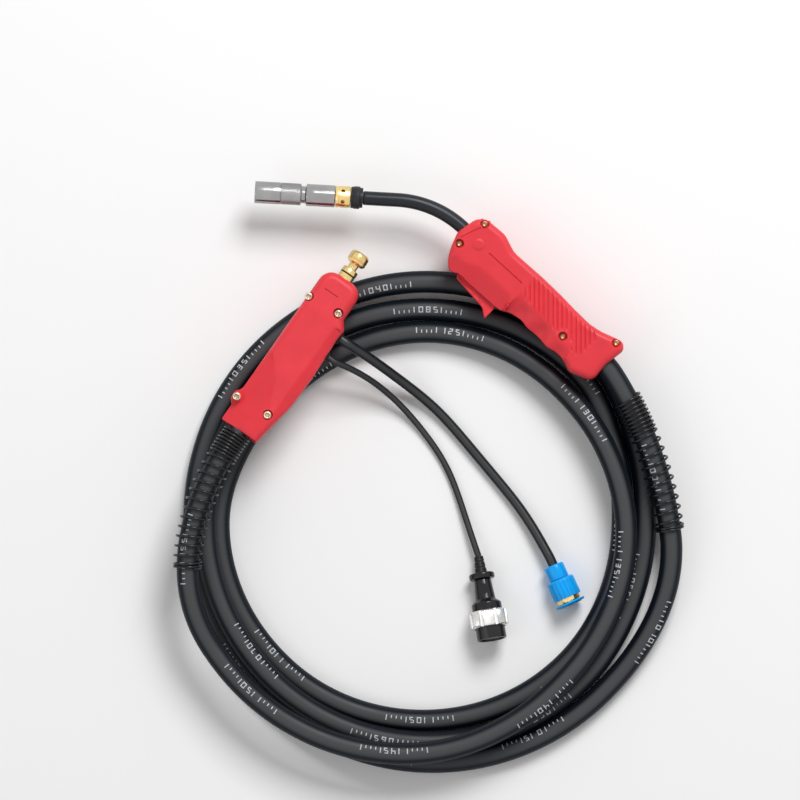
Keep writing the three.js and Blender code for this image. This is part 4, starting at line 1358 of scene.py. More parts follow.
class WireCoil(Grower):
    """Winds a round wire about a line, with the turns given point by point."""

    turn_steps = 36
    wire_sides = 12

    def __init__(self) -> None:
        """Builds the tree."""
        inputs = {"Samples": "Int", "Coil Radius": "Float", "Wire Radius": "Float", "Sides": "Int"}
        super().__init__("wire_coil", inputs)
        tree, entry = self.tree, self.entry
        line = tree.add("GeometryNodeMeshToCurve", {"Mesh": entry["Geometry"]})
        even = tree.add("GeometryNodeResampleCurve", {"Curve": line.outputs[0], "Count": entry["Samples"]})
        upright = tree.add("GeometryNodeSetCurveNormal", {"Curve": even.outputs[0]}, mode="Z_UP")
        turns = tree.add("GeometryNodeInputNamedAttribute", {"Name": "turns"}, data_type="FLOAT").outputs[0]
        angle = tree.maths("MULTIPLY", turns, 2 * math.pi)
        normal = tree.add("GeometryNodeInputNormal").outputs[0]
        tangent = tree.add("GeometryNodeInputTangent").outputs[0]
        across = self.vector("CROSS_PRODUCT", {0: tangent, 1: normal})
        first = self.vector("SCALE", {0: normal, "Scale": tree.maths("COSINE", angle)})
        second = self.vector("SCALE", {0: across, "Scale": tree.maths("SINE", angle)})
        way = self.vector("ADD", {0: first, 1: second})
        offset = self.vector("SCALE", {0: way, "Scale": entry["Coil Radius"]})
        wound = tree.add("GeometryNodeSetPosition", {"Geometry": upright.outputs[0], "Offset": offset})
        free = tree.add("GeometryNodeSetCurveNormal", {"Curve": wound.outputs[0]}, mode="MINIMUM_TWIST")
        sizes = {"Resolution": entry["Sides"], "Radius": entry["Wire Radius"]}
        section = tree.add("GeometryNodeCurvePrimitiveCircle", sizes)
        parts = {"Curve": free.outputs[0], "Profile Curve": section.outputs[0], "Fill Caps": True}
        self.close(tree.add("GeometryNodeCurveToMesh", parts).outputs[0])

    def vector(self, operation: str, inputs: dict) -> bpy.types.NodeSocket:
        """Adds a Vector Math node."""
        return self.tree.add("ShaderNodeVectorMath", inputs, operation=operation).outputs[0]

    def wind(
        self, bench: Bench, name: str, line: Points, turns: Points, coil: float, wire: float, finish: str
    ) -> bpy.types.Object:
        """Winds a spring.

        Args:
            bench: where pieces are made.
            name: the piece's name.
            line: the middle of the spring, in metres.
            turns: the turns so far at each of its points.
            coil: the radius of the wire's middle, in millimetres.
            wire: the wire's own radius.
            finish: the finish's name.

        Returns:
            The spring as a plain mesh.
        """
        data = bpy.data.meshes.new(name)
        data.from_pydata(line.tolist(), [(one, one + 1) for one in range(len(line) - 1)], [])
        data.attributes.new("turns", "FLOAT", "POINT").data.foreach_set("value", turns.astype(np.float32))
        samples = int(abs(turns[-1] - turns[0]) * self.turn_steps)
        sizes = {"Coil Radius": coil * MM, "Wire Radius": wire * MM}
        return self.grow(bench, name, data, finish, {"Samples": samples, **sizes, "Sides": self.wire_sides})


class Fasteners(Grower):
    """Sets one head on every marked point."""

    def __init__(self) -> None:
        """Builds the tree."""
        super().__init__("fasteners", {"Head": "Object"})
        tree, entry = self.tree, self.entry
        points = tree.add("GeometryNodeMeshToPoints", {"Mesh": entry["Geometry"]}).outputs[0]
        head = tree.add("GeometryNodeObjectInfo", {"Object": entry["Head"]}).outputs["Geometry"]
        turn = tree.add("GeometryNodeInputNamedAttribute", {"Name": "turn"},
                        data_type="FLOAT_VECTOR").outputs[0]
        inputs = {"Points": points, "Instance": head, "Rotation": turn}
        self.close(tree.add("GeometryNodeInstanceOnPoints", inputs).outputs[0])

    def set_out(
        self, bench: Bench, name: str, head: Shape, place: Place, spots: Sequence[tuple], finish: str
    ) -> bpy.types.Object:
        """Sets heads out on a sub-assembly.

        Args:
            bench: where pieces are made.
            name: the piece's name.
            head: one head, in millimetres, with z out of the surface.
            place: the sub-assembly's axes.
            spots: x, y, z and degrees turned, for each head.
            finish: the finish's name.

        Returns:
            All of the heads as one plain mesh.
        """
        model = bench.mesh(f"{name}_head", Shape(head.points * MM, head.faces, head.map))
        data = bpy.data.meshes.new(name)
        data.from_pydata([tuple(place.point(*spot[:3])) for spot in spots], [], [])
        turns = []
        for *_, degrees in spots:
            angle = math.radians(degrees)
            cos, sin = math.cos(angle), math.sin(angle)
            rows = np.array([[cos, sin, 0], [-sin, cos, 0], [0, 0, 1]]) @ place.axes
            turns.append(tuple(Matrix(rows.T.tolist()).to_euler()))
        held = data.attributes.new("turn", "FLOAT_VECTOR", "POINT")
        held.data.foreach_set("vector", np.array(turns, np.float32).ravel())
        made = self.grow(bench, name, data, finish, {"Head": model})
        bpy.data.objects.remove(model)
        return made

    def screws(
        self, bench: Bench, name: str, head: Shape, shank: float, place: Place, spots: Sequence[tuple],
        finish: str,
    ) -> None:
        """Sets out whole screws, each in place of the node with its name and number.

        Args:
            bench: where pieces are made.
            name: one screw's name.
            head: its head, as in set_out.
            shank: its shank's radius.
            place: the sub-assembly's axes.
            spots: x, y, z and degrees turned, for each screw.
            finish: the finish's name.
        """
        made = self.set_out(bench, f"{name}s", head, place, spots, finish)
        shanks = joined([prism(circle(x, y, shank, 16), SHANK_END, z) for x, y, z, _ in spots])
        body = bmesh.new()
        body.from_mesh(made.data)
        extra = bench.mesh(f"{name}_shanks", shanks.placed(place))
        body.from_mesh(extra.data)
        body.to_mesh(made.data)
        body.free()
        bpy.data.objects.remove(extra)
        bench.finish(made, finish, "root", [f"{name}_{number}" for number in range(1, len(spots) + 1)])


def socket_head(radius: float, rise: float, socket: float) -> Shape:
    """A pan head with a hexagonal socket, with z up and its underside at z 0.

    Args:
        radius: of the head.
        rise: its height.
        socket: across the socket's corners, halved.

    Returns:
        The shape.
    """
    profile = [(0, 0), (radius - 0.1, 0), (radius, 0.15), (radius, rise * 0.5), (radius * 0.93, rise * 0.82),
               (radius * 0.72, rise * 0.97), (socket + 0.35, rise), (socket + 0.1, rise - 0.12),
               (socket, rise - 0.35), (socket * 0.98, rise * 0.5), (0, 0.25)]
    angle = np.arange(24) * 2 * math.pi / 24
    hexed = 1.08 * math.cos(math.pi / 6) / np.cos(angle % (math.pi / 3) - math.pi / 6)
    rings = []
    for number, (size, height) in enumerate(profile):
        reach = size * (hexed if number in (7, 8, 9) else np.ones(24))
        rings.append(np.column_stack([reach * np.cos(angle), reach * np.sin(angle), np.full(24, height)]))
    whole = skin(np.array(rings), close=False)
    return Shape(whole.points, whole.faces)


def socket_floor(rise: float, socket: float) -> Shape:
    """The floor of a screw's socket, with z up.

    Args:
        rise: the head's height.
        socket: across the socket's corners, halved.

    Returns:
        The shape, which fits inside the socket.
    """
    size = socket * 0.9
    profile = [(0.3, 0), (0.3, size), (rise * 0.7, size), (rise * 0.7, size * 0.75), (rise * 0.45, 0)]
    return lathe(profile, 6).turned(0, 2, 90)


# ---- Sub-assemblies ----


@dataclass
class FrontEnd:
    """Nozzle, tip, its holder, the collar, the ring and the swan neck."""

    layout: Layout
    bench: Bench
    nozzle_radius: float = 11.0
    bore: float = 8.0
    nozzle_from: float = 27.6
    nozzle_to: float = 107.6
    groove: tuple[float, float] = (56.6, 61.6)
    groove_depth: float = 2.4
    band: tuple[float, float] = (61.6, 81.6)
    knurl: float = 0.85
    collar: tuple[float, float, float] = (12.3, 27.3, 10.75)
    ring: tuple[float, float] = (12.0, 11.3)
    neck_radius: float = 7.0

    def nozzle(self) -> None:
        """The gas nozzle, with its groove and its band of diamond knurls."""
        r, start, end = self.nozzle_radius, self.nozzle_from, self.nozzle_to
        low, high = self.groove
        first, last = self.band
        outer = [(start, r - 0.9), (start + 0.25, r - 0.35), (start + 0.7, r)]
        outer += [(x, r) for x in (40, 48, low - 1.2)]
        outer += [(low - 0.5, r - 0.2), (low + 0.3, r - self.groove_depth * 0.8),
                  (low + 1, r - self.groove_depth)]
        outer += [(high - 1, r - self.groove_depth), (high - 0.3, r - self.groove_depth * 0.8),
                  (high, r - 0.75)]
        rows = int((last - first - 1.2) / (self.knurl / 2))
        outer += [(first + 0.6 + self.knurl / 2 * row, r - 0.5) for row in range(rows + 1)]
        outer += [(last, r - 0.75), (last + 0.3, r - 0.7), (last + 0.6, r - 0.05), (last + 0.8, r)]
        outer += [(x, r) for x in (90, 98, end - 0.9)]
        outer += [(end - 0.4, r - 0.12), (end - 0.08, r - 0.45), (end, r - 0.8)]
        inner = [(end, self.bore + 0.5), (end - 0.1, self.bore + 0.15), (end - 0.4, self.bore)]
        inner += [(start + 0.4, self.bore), (start, self.bore + 0.3)]
        count = round(2 * math.pi * r / (2 * self.knurl))

        def knurled(along: Points, radius: Points, angle: Points) -> Points:
            """Raises crossing ridges on the band.

            Args:
                along: how far along each point is.
                radius: its radius.
                angle: its angle.

            Returns:
                The radius.
            """
            held = (along > first + 0.5) & (along < last - 0.5) & (radius > self.bore + 1)
            swing = (along - first - 0.6) / self.knurl * math.pi
            left = np.abs(np.sin((angle * count + swing) / 2))
            right = np.abs(np.sin((angle * count - swing) / 2))
            return np.where(held, radius - 0.05 + 0.42 * np.minimum(left, right), radius)

        place = self.layout.front()
        shape = lathe(outer + inner, 6 * count, knurled)
        self.bench.piece("nozzle_skin", shape, place, "chrome_plate", "nozzle", ["gas_nozzle"])

    def inner(self) -> None:
        """The contact tip, its holder and the insulating sleeve round it."""
        place = self.layout.front()
        tip = [(100.6, 0.8), (100.6, 2), (100.3, 2.4), (96.6, 3.95), (96, 4), (71, 4), (70.6, 3.6),
               (70.6, 0.8)]
        sides = ((3.33, 8), (-8, -3.33))
        flats = [prism([(87.9, low), (95.2, low), (95.2, high), (87.9, high)], -6, 6) for low, high in sides]
        self.bench.piece("tip", lathe(tip, 48), place, "bare_copper", "root", ["contact_tip"], flats)
        holder = [(28.3, 5), (28.3, 5.7), (62, 5.7), (64, 5.2), (70.3, 5.2), (70.3, 2.6), (40, 2.6), (40, 5)]
        holes = [
            prism(circle(58.13 + 3.1 * (number % 2), 0.01, 0.97, 18), -8, 8).turned(1, 2, 60 * number + 4.3)
            for number in range(3)
        ]
        body = rounded(holder + holder[:1], 0.35)
        self.bench.piece("holder", lathe(body[:-1], 48), place, "turned_brass", "root", ["tip_holder"], holes)
        sleeve = rounded([(27.6, 6), (27.6, 7.7), (61.3, 7.7), (61.3, 6), (27.6, 6)], 0.4)
        self.bench.piece("sleeve", lathe(sleeve[:-1], 64), place, "glass_fibre", "root", ["nozzle_insulator"])

    def collar_and_ring(self) -> None:
        """The drilled brass collar and the stepped black ring behind it."""
        place = self.layout.front()
        low, high, r = self.collar
        profile = [(low, 7.5), (low, r - 0.7), (low + 0.4, r - 0.2), (low + 0.9, r), (high - 4.2, r),
                   (high - 4, r - 0.35), (high - 3.4, r - 0.35), (high - 3.2, r), (high - 0.8, r),
                   (high - 0.3, r - 0.25), (high, r - 0.8), (high, 7.5)]
        middle = (low + high) / 2
        holes = []
        for number in range(3):
            for low_z, high_z in ((6.1, 14), (-14, -6.1)):
                hole = prism(circle(middle + 0.03, 0.02, 2, 22), low_z, high_z)
                holes.append(hole.turned(1, 2, 60 * number + 91.3))
        self.bench.piece("collar", lathe(profile, 96), place, "turned_brass", "root", ["neck_collar"], holes)
        length, big = self.ring
        step = [(0, 7.3), (0, 9.4), (0.5, 10), (2.6, 10.1), (2.9, 10.5), (3.2, big - 0.4), (3.8, big),
                (8.6, big), (9, big - 0.25), (9.4, big - 0.5), (length - 0.6, big - 0.5), (length, big - 1.1),
                (length, 7.3)]
        self.bench.piece("ring", lathe(step, 96), place, "black_nylon", "root", ["insulating_ring"])

    def neck(self) -> None:
        """The neck's sleeve, with a lip at each end."""
        layout = self.layout
        points = [np.array([x, 0.0, 0.0]) for x in np.linspace(13.7, 1, 6)]
        for angle in np.radians(np.linspace(0, layout.neck_bend, 26)):
            x, y = -layout.neck_radius * math.sin(angle), -layout.neck_radius * (1 - math.cos(angle))
            points.append(np.array([x, y, 0.0]))
        points += [layout.neck_end(length) for length in np.linspace(3, layout.neck_straight - 0.2, 14)]
        line = evenly(np.array(points), 1.2)
        size = np.full(len(line), self.neck_radius)
        size[-1], size[-2] = self.neck_radius - 0.5, self.neck_radius - 0.12
        self.bench.piece(
            "neck_skin", sweep(line, size, 48), layout.handle(), "neck_coat", "root", ["neck_sleeve"]
        )

    def build(self) -> None:
        """Makes all of it."""
        self.nozzle()
        self.inner()
        self.collar_and_ring()
        self.neck()


@dataclass
class Handle:
    """The two shells of the handle, its trigger and its screws."""

    layout: Layout
    bench: Bench
    fasteners: Fasteners
    half: float = 19.0
    rise: float = 7.0
    inset: float = 6.0
    outline: tuple = (
        (-1.5, -7), (1, -14), (4.4, -23.5), (10, -33.5), (17.3, -40.2), (24.2, -39.0), (26, -36.6),
        (79, -35.2), (85, -33.6), (91, -29.5), (105, -27), (113, -29), (123, -28), (132, -28), (141, -30),
        (150, -27), (159, -27), (166, -29), (174, -32.5), (182, -29.7), (194, -25), (197.5, -19.5), (196, -3),
        (199.7, 20), (193.5, 25.8), (184.5, 23.4), (170, 18.4), (157, 16.2), (137, 16.5), (116, 17.6),
        (92, 17.9), (54, 16.7), (46, 19.4), (35, 23.4), (11, 22), (3.2, 15),
    )
    screws: tuple = ((12.9, 17.1), (7.8, -14.1), (145.7, -11.1), (188.9, 20.4))
    screw_seat: float = 13.3
    button: tuple = (22.4, -1.7, 6.0)
    neck_hole: float = 7.35
    cable_way: float = 15.2
    trigger_outline: tuple = (
        (27, -36), (29, -41.2), (67.5, -44.8), (77, -51.6), (77.4, -37.5), (74, -31.5), (62, -30),
        (58, -27.5), (50, -27.5), (46, -30), (31, -30), (27, -32),
    )

    def base(self, plan: Points, away: Points) -> Points:
        """The skin without its small marks: a rounded slab with facets by the trigger and the fingers.

        Args:
            plan: the points' x and y.
            away: their distance from the edge.

        Returns:
            The heights.
        """
        x, y = plan[:, 0], plan[:, 1]
        top = rim(away, self.half, self.rise, self.inset)
        main = self.half - 0.43 * (-17 - y)
        oblique = self.half - 0.40 * (beyond(plan, (25, -24), (39, -17)))
        front = self.half - 0.40 * (beyond(plan, (7, -26), (25, -24)))
        slant = soft_min(soft_max(main, oblique, 0.5), front, 0.5)
        end = step_up(x + 0.15 * (y + 17), 81.2, 85.2)
        top = soft_min(top, slant + end * 30, 0.6)
        fingers = self.finger_edge(x) - y
        hollow = 0.46 * fingers + 1.3 * np.cos((x - 99) / 27 * 2 * math.pi) * step_up(fingers, 2, 12)
        bay = self.half + 0.1 - hollow
        fade = end * (1 - step_up(x, 160, 169))
        return soft_min(top, bay + (1 - fade) * 30, 1.0)

    def finger_edge(self, x: Points) -> Points:
        """How far down the grip its ribs reach at each x, where the finger bays start."""
        edge = -9.5 - 1.8 * step_up(x, 92, 106) - 4.6 * step_up(x, 129, 141)
        return edge - 12 * (1 - step_up(x, 81, 90))

    def ribs(self, plan: Points) -> Points:
        """How deep the grip's grooves are at each point.

        Args:
            plan: the points' x and y.

        Returns:
            The depths.
        """
        x, y = plan[:, 0], plan[:, 1]
        across = x * 0.729 + y * 0.684
        wave = np.abs(((across - 1.2) / 4.6) % 1 - 0.5) * 2
        groove = step_up(wave, 0.52, 0.92)
        held = step_up(x, 84.5, 87.5) * (1 - step_up(x, 170, 172.5))
        edge = self.finger_edge(x) + 6.5 * step_up(x, 148, 152) * (1 - step_up(x, 157, 161))
        held = held * step_up(y, edge, edge + 1.2) * (1 - step_up(y, 12.4, 13.8))
        around = step_up(np.hypot(x - 145.7, y + 11.1), 7.0, 8.2)
        return 1.1 * groove * held * around

    def height(self, plan: Points, away: Points) -> Points:
        """The whole skin's height."""
        return self.base(plan, away) - self.ribs(plan)

    def sunk(self, depth: float) -> Callable[[Points, Points], Points]:
        """A terrace that follows the skin at a depth."""
        return lambda plan, away: np.minimum(self.base(plan, away) - depth, self.half)

    def terraces(self) -> list[Terrace]:
        """The button, the screw recesses, the engraved line and the groove by the front.

        Returns:
            The terraces.
        """
        seat = level_at(self.screw_seat)
        made = [Terrace(np.array(circle(x, y, 4.7, 28)), seat) for x, y in self.screws]
        at_x, at_y, radius = self.button

        def dome(plan: Points, away: Points) -> Points:
            """The button's top, with a soft edge."""
            reach = np.hypot(plan[:, 0] - at_x, plan[:, 1] - at_y)
            return self.half + 1.1 - 0.9 * step_up(reach, radius - 1.1, radius)

        made.append(Terrace(np.array(circle(at_x, at_y, radius, 36)), dome))
        line = [(36, -1.9), (80, -1.1), (80, 0.3), (36, -0.3)]
        made.append(Terrace(dense(np.array(line, float), 3), self.sunk(1.2)))
        slot = [(3.9, -8.2), (5.1, -8.8), (9.1, 1.5), (13.4, 11.6), (12.1, 12.3), (7.8, 2.1)]
        made.append(Terrace(dense(np.array(slot, float), 3), self.sunk(1.1)))
        return made

    def foot(self, plan: Points) -> Points:
        """Where the wall ends, which leaves the neck's hole, the cable's way and the trigger's slot.

        Args:
            plan: the points' x and y.

        Returns:
            The heights.
        """
        x, y = plan[:, 0], plan[:, 1]
        foot = arch(np.full(len(plan), CLEARANCE), y, self.neck_hole, x < 8)
        foot = arch(foot, y + 0.5, self.cable_way, x > 185)
        return np.where((x > 24.4) & (x < 79.6) & (y < -28), 7.1, foot)

    def shells(self) -> None:
        """Both halves."""
        plan = dense(eased(self.outline, 4.0), 1.3)
        grip = np.array([(84, -23), (176, -23), (176, 15), (84, 15)], float)
        moulding = Moulding(
            plan, self.height, self.foot, self.terraces(), (1.5, 1.5), 43.2, grip, (0.5, 2.2), 4
        )
        halves(self.bench, moulding.skin(), self.layout.handle(), "handle_{}", "handle_shell_{}")

    def trigger(self) -> None:
        """The trigger's blade, with a sunk panel on each side."""
        plan = dense(eased(self.trigger_outline, 2.0), 1.0)

        def height(points: Points, away: Points) -> Points:
            """A blade with a raised rim round its panel."""
            top = rim(away, 6.5, 1.4, 1.4)
            return top - 0.9 * step_up(away, 1.5, 2.0)

        half = Moulding(plan, height, lambda points: np.zeros(len(points)), [], (1.0, 1.0), rows=3).skin()
        other = Shape(half.points * np.array([1, 1, -1]), [tuple(reversed(face)) for face in half.faces])
        hole = prism(circle(*self.layout.trigger_pivot, 1.7), -9, 9)
        self.bench.piece(
            "trigger_blade", joined([half, other]), self.layout.handle(), "red_nylon", "trigger", ["trigger"],
            [hole]
        )

    def pin(self) -> None:
        """The trigger's hinge pin."""
        shape = lathe(rounded([(-9.5, 0), (-9.5, 1.5), (9.5, 1.5), (9.5, 0)], 0.3), 24)
        x, y = self.layout.trigger_pivot
        upright = shape.turned(0, 2, 90).moved(x, y, 0)
        self.bench.piece("hinge_pin", upright, self.layout.handle(), "plain_steel", "root", ["trigger_pin"])

    def screw_heads(self) -> None:
        """The four screws, each with its shank."""
        spots = [(x, y, self.screw_seat, 25 * number) for number, (x, y) in enumerate(self.screws)]
        head, place = socket_head(3.0, 2.2, 1.7), self.layout.handle()
        self.fasteners.screws(self.bench, "handle_screw", head, 1.5, place, spots, "dull_brass")

    def build(self) -> None:
        """Makes all of it."""
        self.shells()
        self.trigger()
        self.pin()
        self.screw_heads()


@dataclass
class Housing:
    """The connector housing at the cable's other end, with its plug, screws and glands."""

    layout: Layout
    bench: Bench
    fasteners: Fasteners
    half: float = 20.0
    rise: float = 9.0
    inset: float = 7.0
    outline: tuple = (
        (0, -21.5), (49.4, -29.3), (83.4, -30.2), (127.9, -28.6), (140.5, -29.6), (149, -22.8), (175.5, -23),
        (184, -15), (184, 12), (175.5, 20.6), (0, 20.8),
    )
    ear: tuple = (18.5, 33.0, 25.4)
    upper_edge: float = 20.8
    screws: tuple = ((148.3, 19, 4.9), (25.7, 21, 4.9), (150.8, -14.6, 5.3), (27.8, -14.7, 5.3))
    screw_seat: float = 15.3
    cable_hole: float = 12.1
    plug_hole: float = 8.6
    hose_hole: float = 6.2
    lead_hole: float = 4.5
    hose_exit: float = 133.0
    lead_exit: float = 111.0
    side: float = -29.0

    def height(self, plan: Points, away: Points) -> Points:
        """The skin: a rounded slab with long facets towards the cable.

        Args:
            plan: the points' x and y.
            away: their distance from the edge.

        Returns:
            The heights.
        """
        x, y = plan[:, 0], plan[:, 1]
        sides = np.minimum(y + 21.5 + 0.158 * x, self.upper_edge - y)
        away = np.where(x < self.inset, np.minimum(sides, away + 3.6), away)
        top = rim(away, self.half, self.rise, self.inset)
        facet = self.half + 0.1 - 0.50 * np.maximum(0, -18.2 - 0.012 * (x - 40) - y)
        top = soft_min(top, facet + step_up(x, 137, 145) * 30, 0.5)
        right = -beyond(plan, (37.8, -11.4), (67.9, 1.4))
        left = beyond(plan, (20, 21), (67.9, 1.4))
        top = top - 0.32 * soft_max(soft_min(right, left, 0.6), np.zeros(len(plan)), 0.4)
        side = self.half - 0.38 * beyond(plan, (67.9, 1.4), (37.8, -11.4))
        end = step_up(x - y, 62, 70)
        top = soft_min(top, side + end * 30 + 1.2, 0.5)
        upper = self.half + 0.1 - 0.34 * np.maximum(0, y - 14)
        top = soft_min(top, upper + (1 - step_up(x, 40, 52) * (1 - step_up(x, 132, 140))) * 30, 0.6)
        return top

    def terraces(self) -> list[Terrace]:
        """The screws' recesses and the engraved dash.

        Returns:
            The terraces.
        """
        seat = level_at(self.screw_seat)
        made = [Terrace(np.array(circle(x, y, radius, 32)), seat) for x, y, radius in self.screws]
        dash = np.array([(163.2, -5), (164.2, -5), (164.2, 10.5), (163.2, 10.5)], float)
        made.append(Terrace(dense(dash, 2.5), level_at(self.half - 1.1)))
        return made

    def foot(self, plan: Points) -> Points:
        """Where the wall ends, which leaves the holes for cable, plug, hose and lead.

        Args:
            plan: the points' x and y.

        Returns:
            The heights.
        """
        x, y = plan[:, 0], plan[:, 1]
        foot = arch(np.full(len(plan), CLEARANCE), y, self.cable_hole, x < 6)
        foot = arch(foot, y, self.plug_hole, x > 178)
        foot = arch(foot, x - self.hose_exit, self.hose_hole, y < -20)
        return arch(foot, x - self.lead_exit, self.lead_hole, y < -20)

    def shells(self) -> None:
        """Both halves."""
        low, high, out = self.ear
        corners = list(self.outline[:-1])
        edge = self.upper_edge
        corners += [
            (high + 4.5, edge), (high + 0.2, edge + 1.7), (high - 2.2, out), (low + 3.8, out),
            (low + 1.3, edge + 1.5), (low - 2.2, edge), self.outline[-1],
        ]
        plan = dense(eased(corners, 2.0, nose=(160.0, 7.5)), 1.2)
        moulding = Moulding(plan, self.height, self.foot, self.terraces(), (1.6, 1.6), rows=4)
        halves(self.bench, moulding.skin(), self.layout.housing(), "housing_{}_skin", "housing_{}")

    def screw_heads(self) -> None:
        """The four screws, each with its shank."""
        place = self.layout.housing()
        spots = [(x, y, self.screw_seat, 20 * number) for number, (x, y, _) in enumerate(self.screws)]
        head = socket_head(4.0, 3.0, 2.25)
        self.fasteners.screws(self.bench, "housing_screw", head, 1.4, place, spots, "screw_zinc")
        # a darker brass floor in each socket: partly the socket's own brass tint, partly painted shade of the
        # recess
        floor = socket_floor(3.0, 2.25)
        sockets = self.fasteners.set_out(self.bench, "housing_sockets", floor, place, spots, "dull_brass")
        self.bench.finish(sockets, "dull_brass", "root")

    def plug(self) -> None:
        """The machine plug and its seal."""
        place = self.layout.housing()
        profile = [(176, 1.6), (176, 11.2), (178, 11.2), (178, 8.25), (189.2, 8.25), (189.3, 8.1),
                   (189.35, 7.0), (190.65, 7.0), (190.7, 8.1), (190.8, 8.25), (195.2, 8.25), (195.7, 8.0),
                   (196, 7.4), (196, 5.3), (196.4, 4.8), (201.6, 4.8), (202, 5.3), (202, 7.5), (202.4, 8.2),
                   (204, 9.8), (204.5, 10), (206, 10), (206.3, 9.7), (206.9, 9.7), (207.2, 10), (211.6, 10),
                   (212.6, 9.75), (213.8, 8.9), (214.7, 7.9), (215, 7), (215, 2.6), (214.4, 1.9),
                   (213.5, 1.6)]
        hole = prism(circle(199.03, 0.01, 1.2, 18), -7, 7)
        holes = [hole.turned(1, 2, 2.1), hole.turned(1, 2, 91.7)]
        self.bench.piece("plug_skin", lathe(profile, 80), place, "turned_brass", "root", ["machine_plug"],
                         holes)
        angles = np.linspace(0, 2 * math.pi, 17)[:-1]
        ring = [(190 + 0.6 * math.cos(a), 7.6 + 0.6 * math.sin(a)) for a in angles]
        self.bench.piece("seal_ring", lathe(ring, 64), place, "seal", "root", ["plug_seal"])

    def glands(self) -> None:
        """The two rubber grommets in the side."""
        place = self.layout.housing()
        for node, x, hole in (("hose_gland", self.hose_exit, 4.9), ("lead_gland", self.lead_exit, 3.2)):
            inner, outer = hole + 0.25, hole + 1.0
            profile = [(-10, inner), (-10, outer), (0.2, outer), (0.45, outer + 0.5), (0.9, outer + 0.75),
                       (1.5, outer + 0.55), (2, outer - 0.1), (2, inner + 0.2), (1.6, inner)]
            shape = lathe(profile, 40).turned(0, 1, -90).moved(x, self.side, 0)
            self.bench.piece(f"{node}_skin", shape, place, "seal", "root", [node])

    def build(self) -> None:
        """Makes all of it."""
        self.shells()
        self.screw_heads()
        self.plug()
        self.glands()


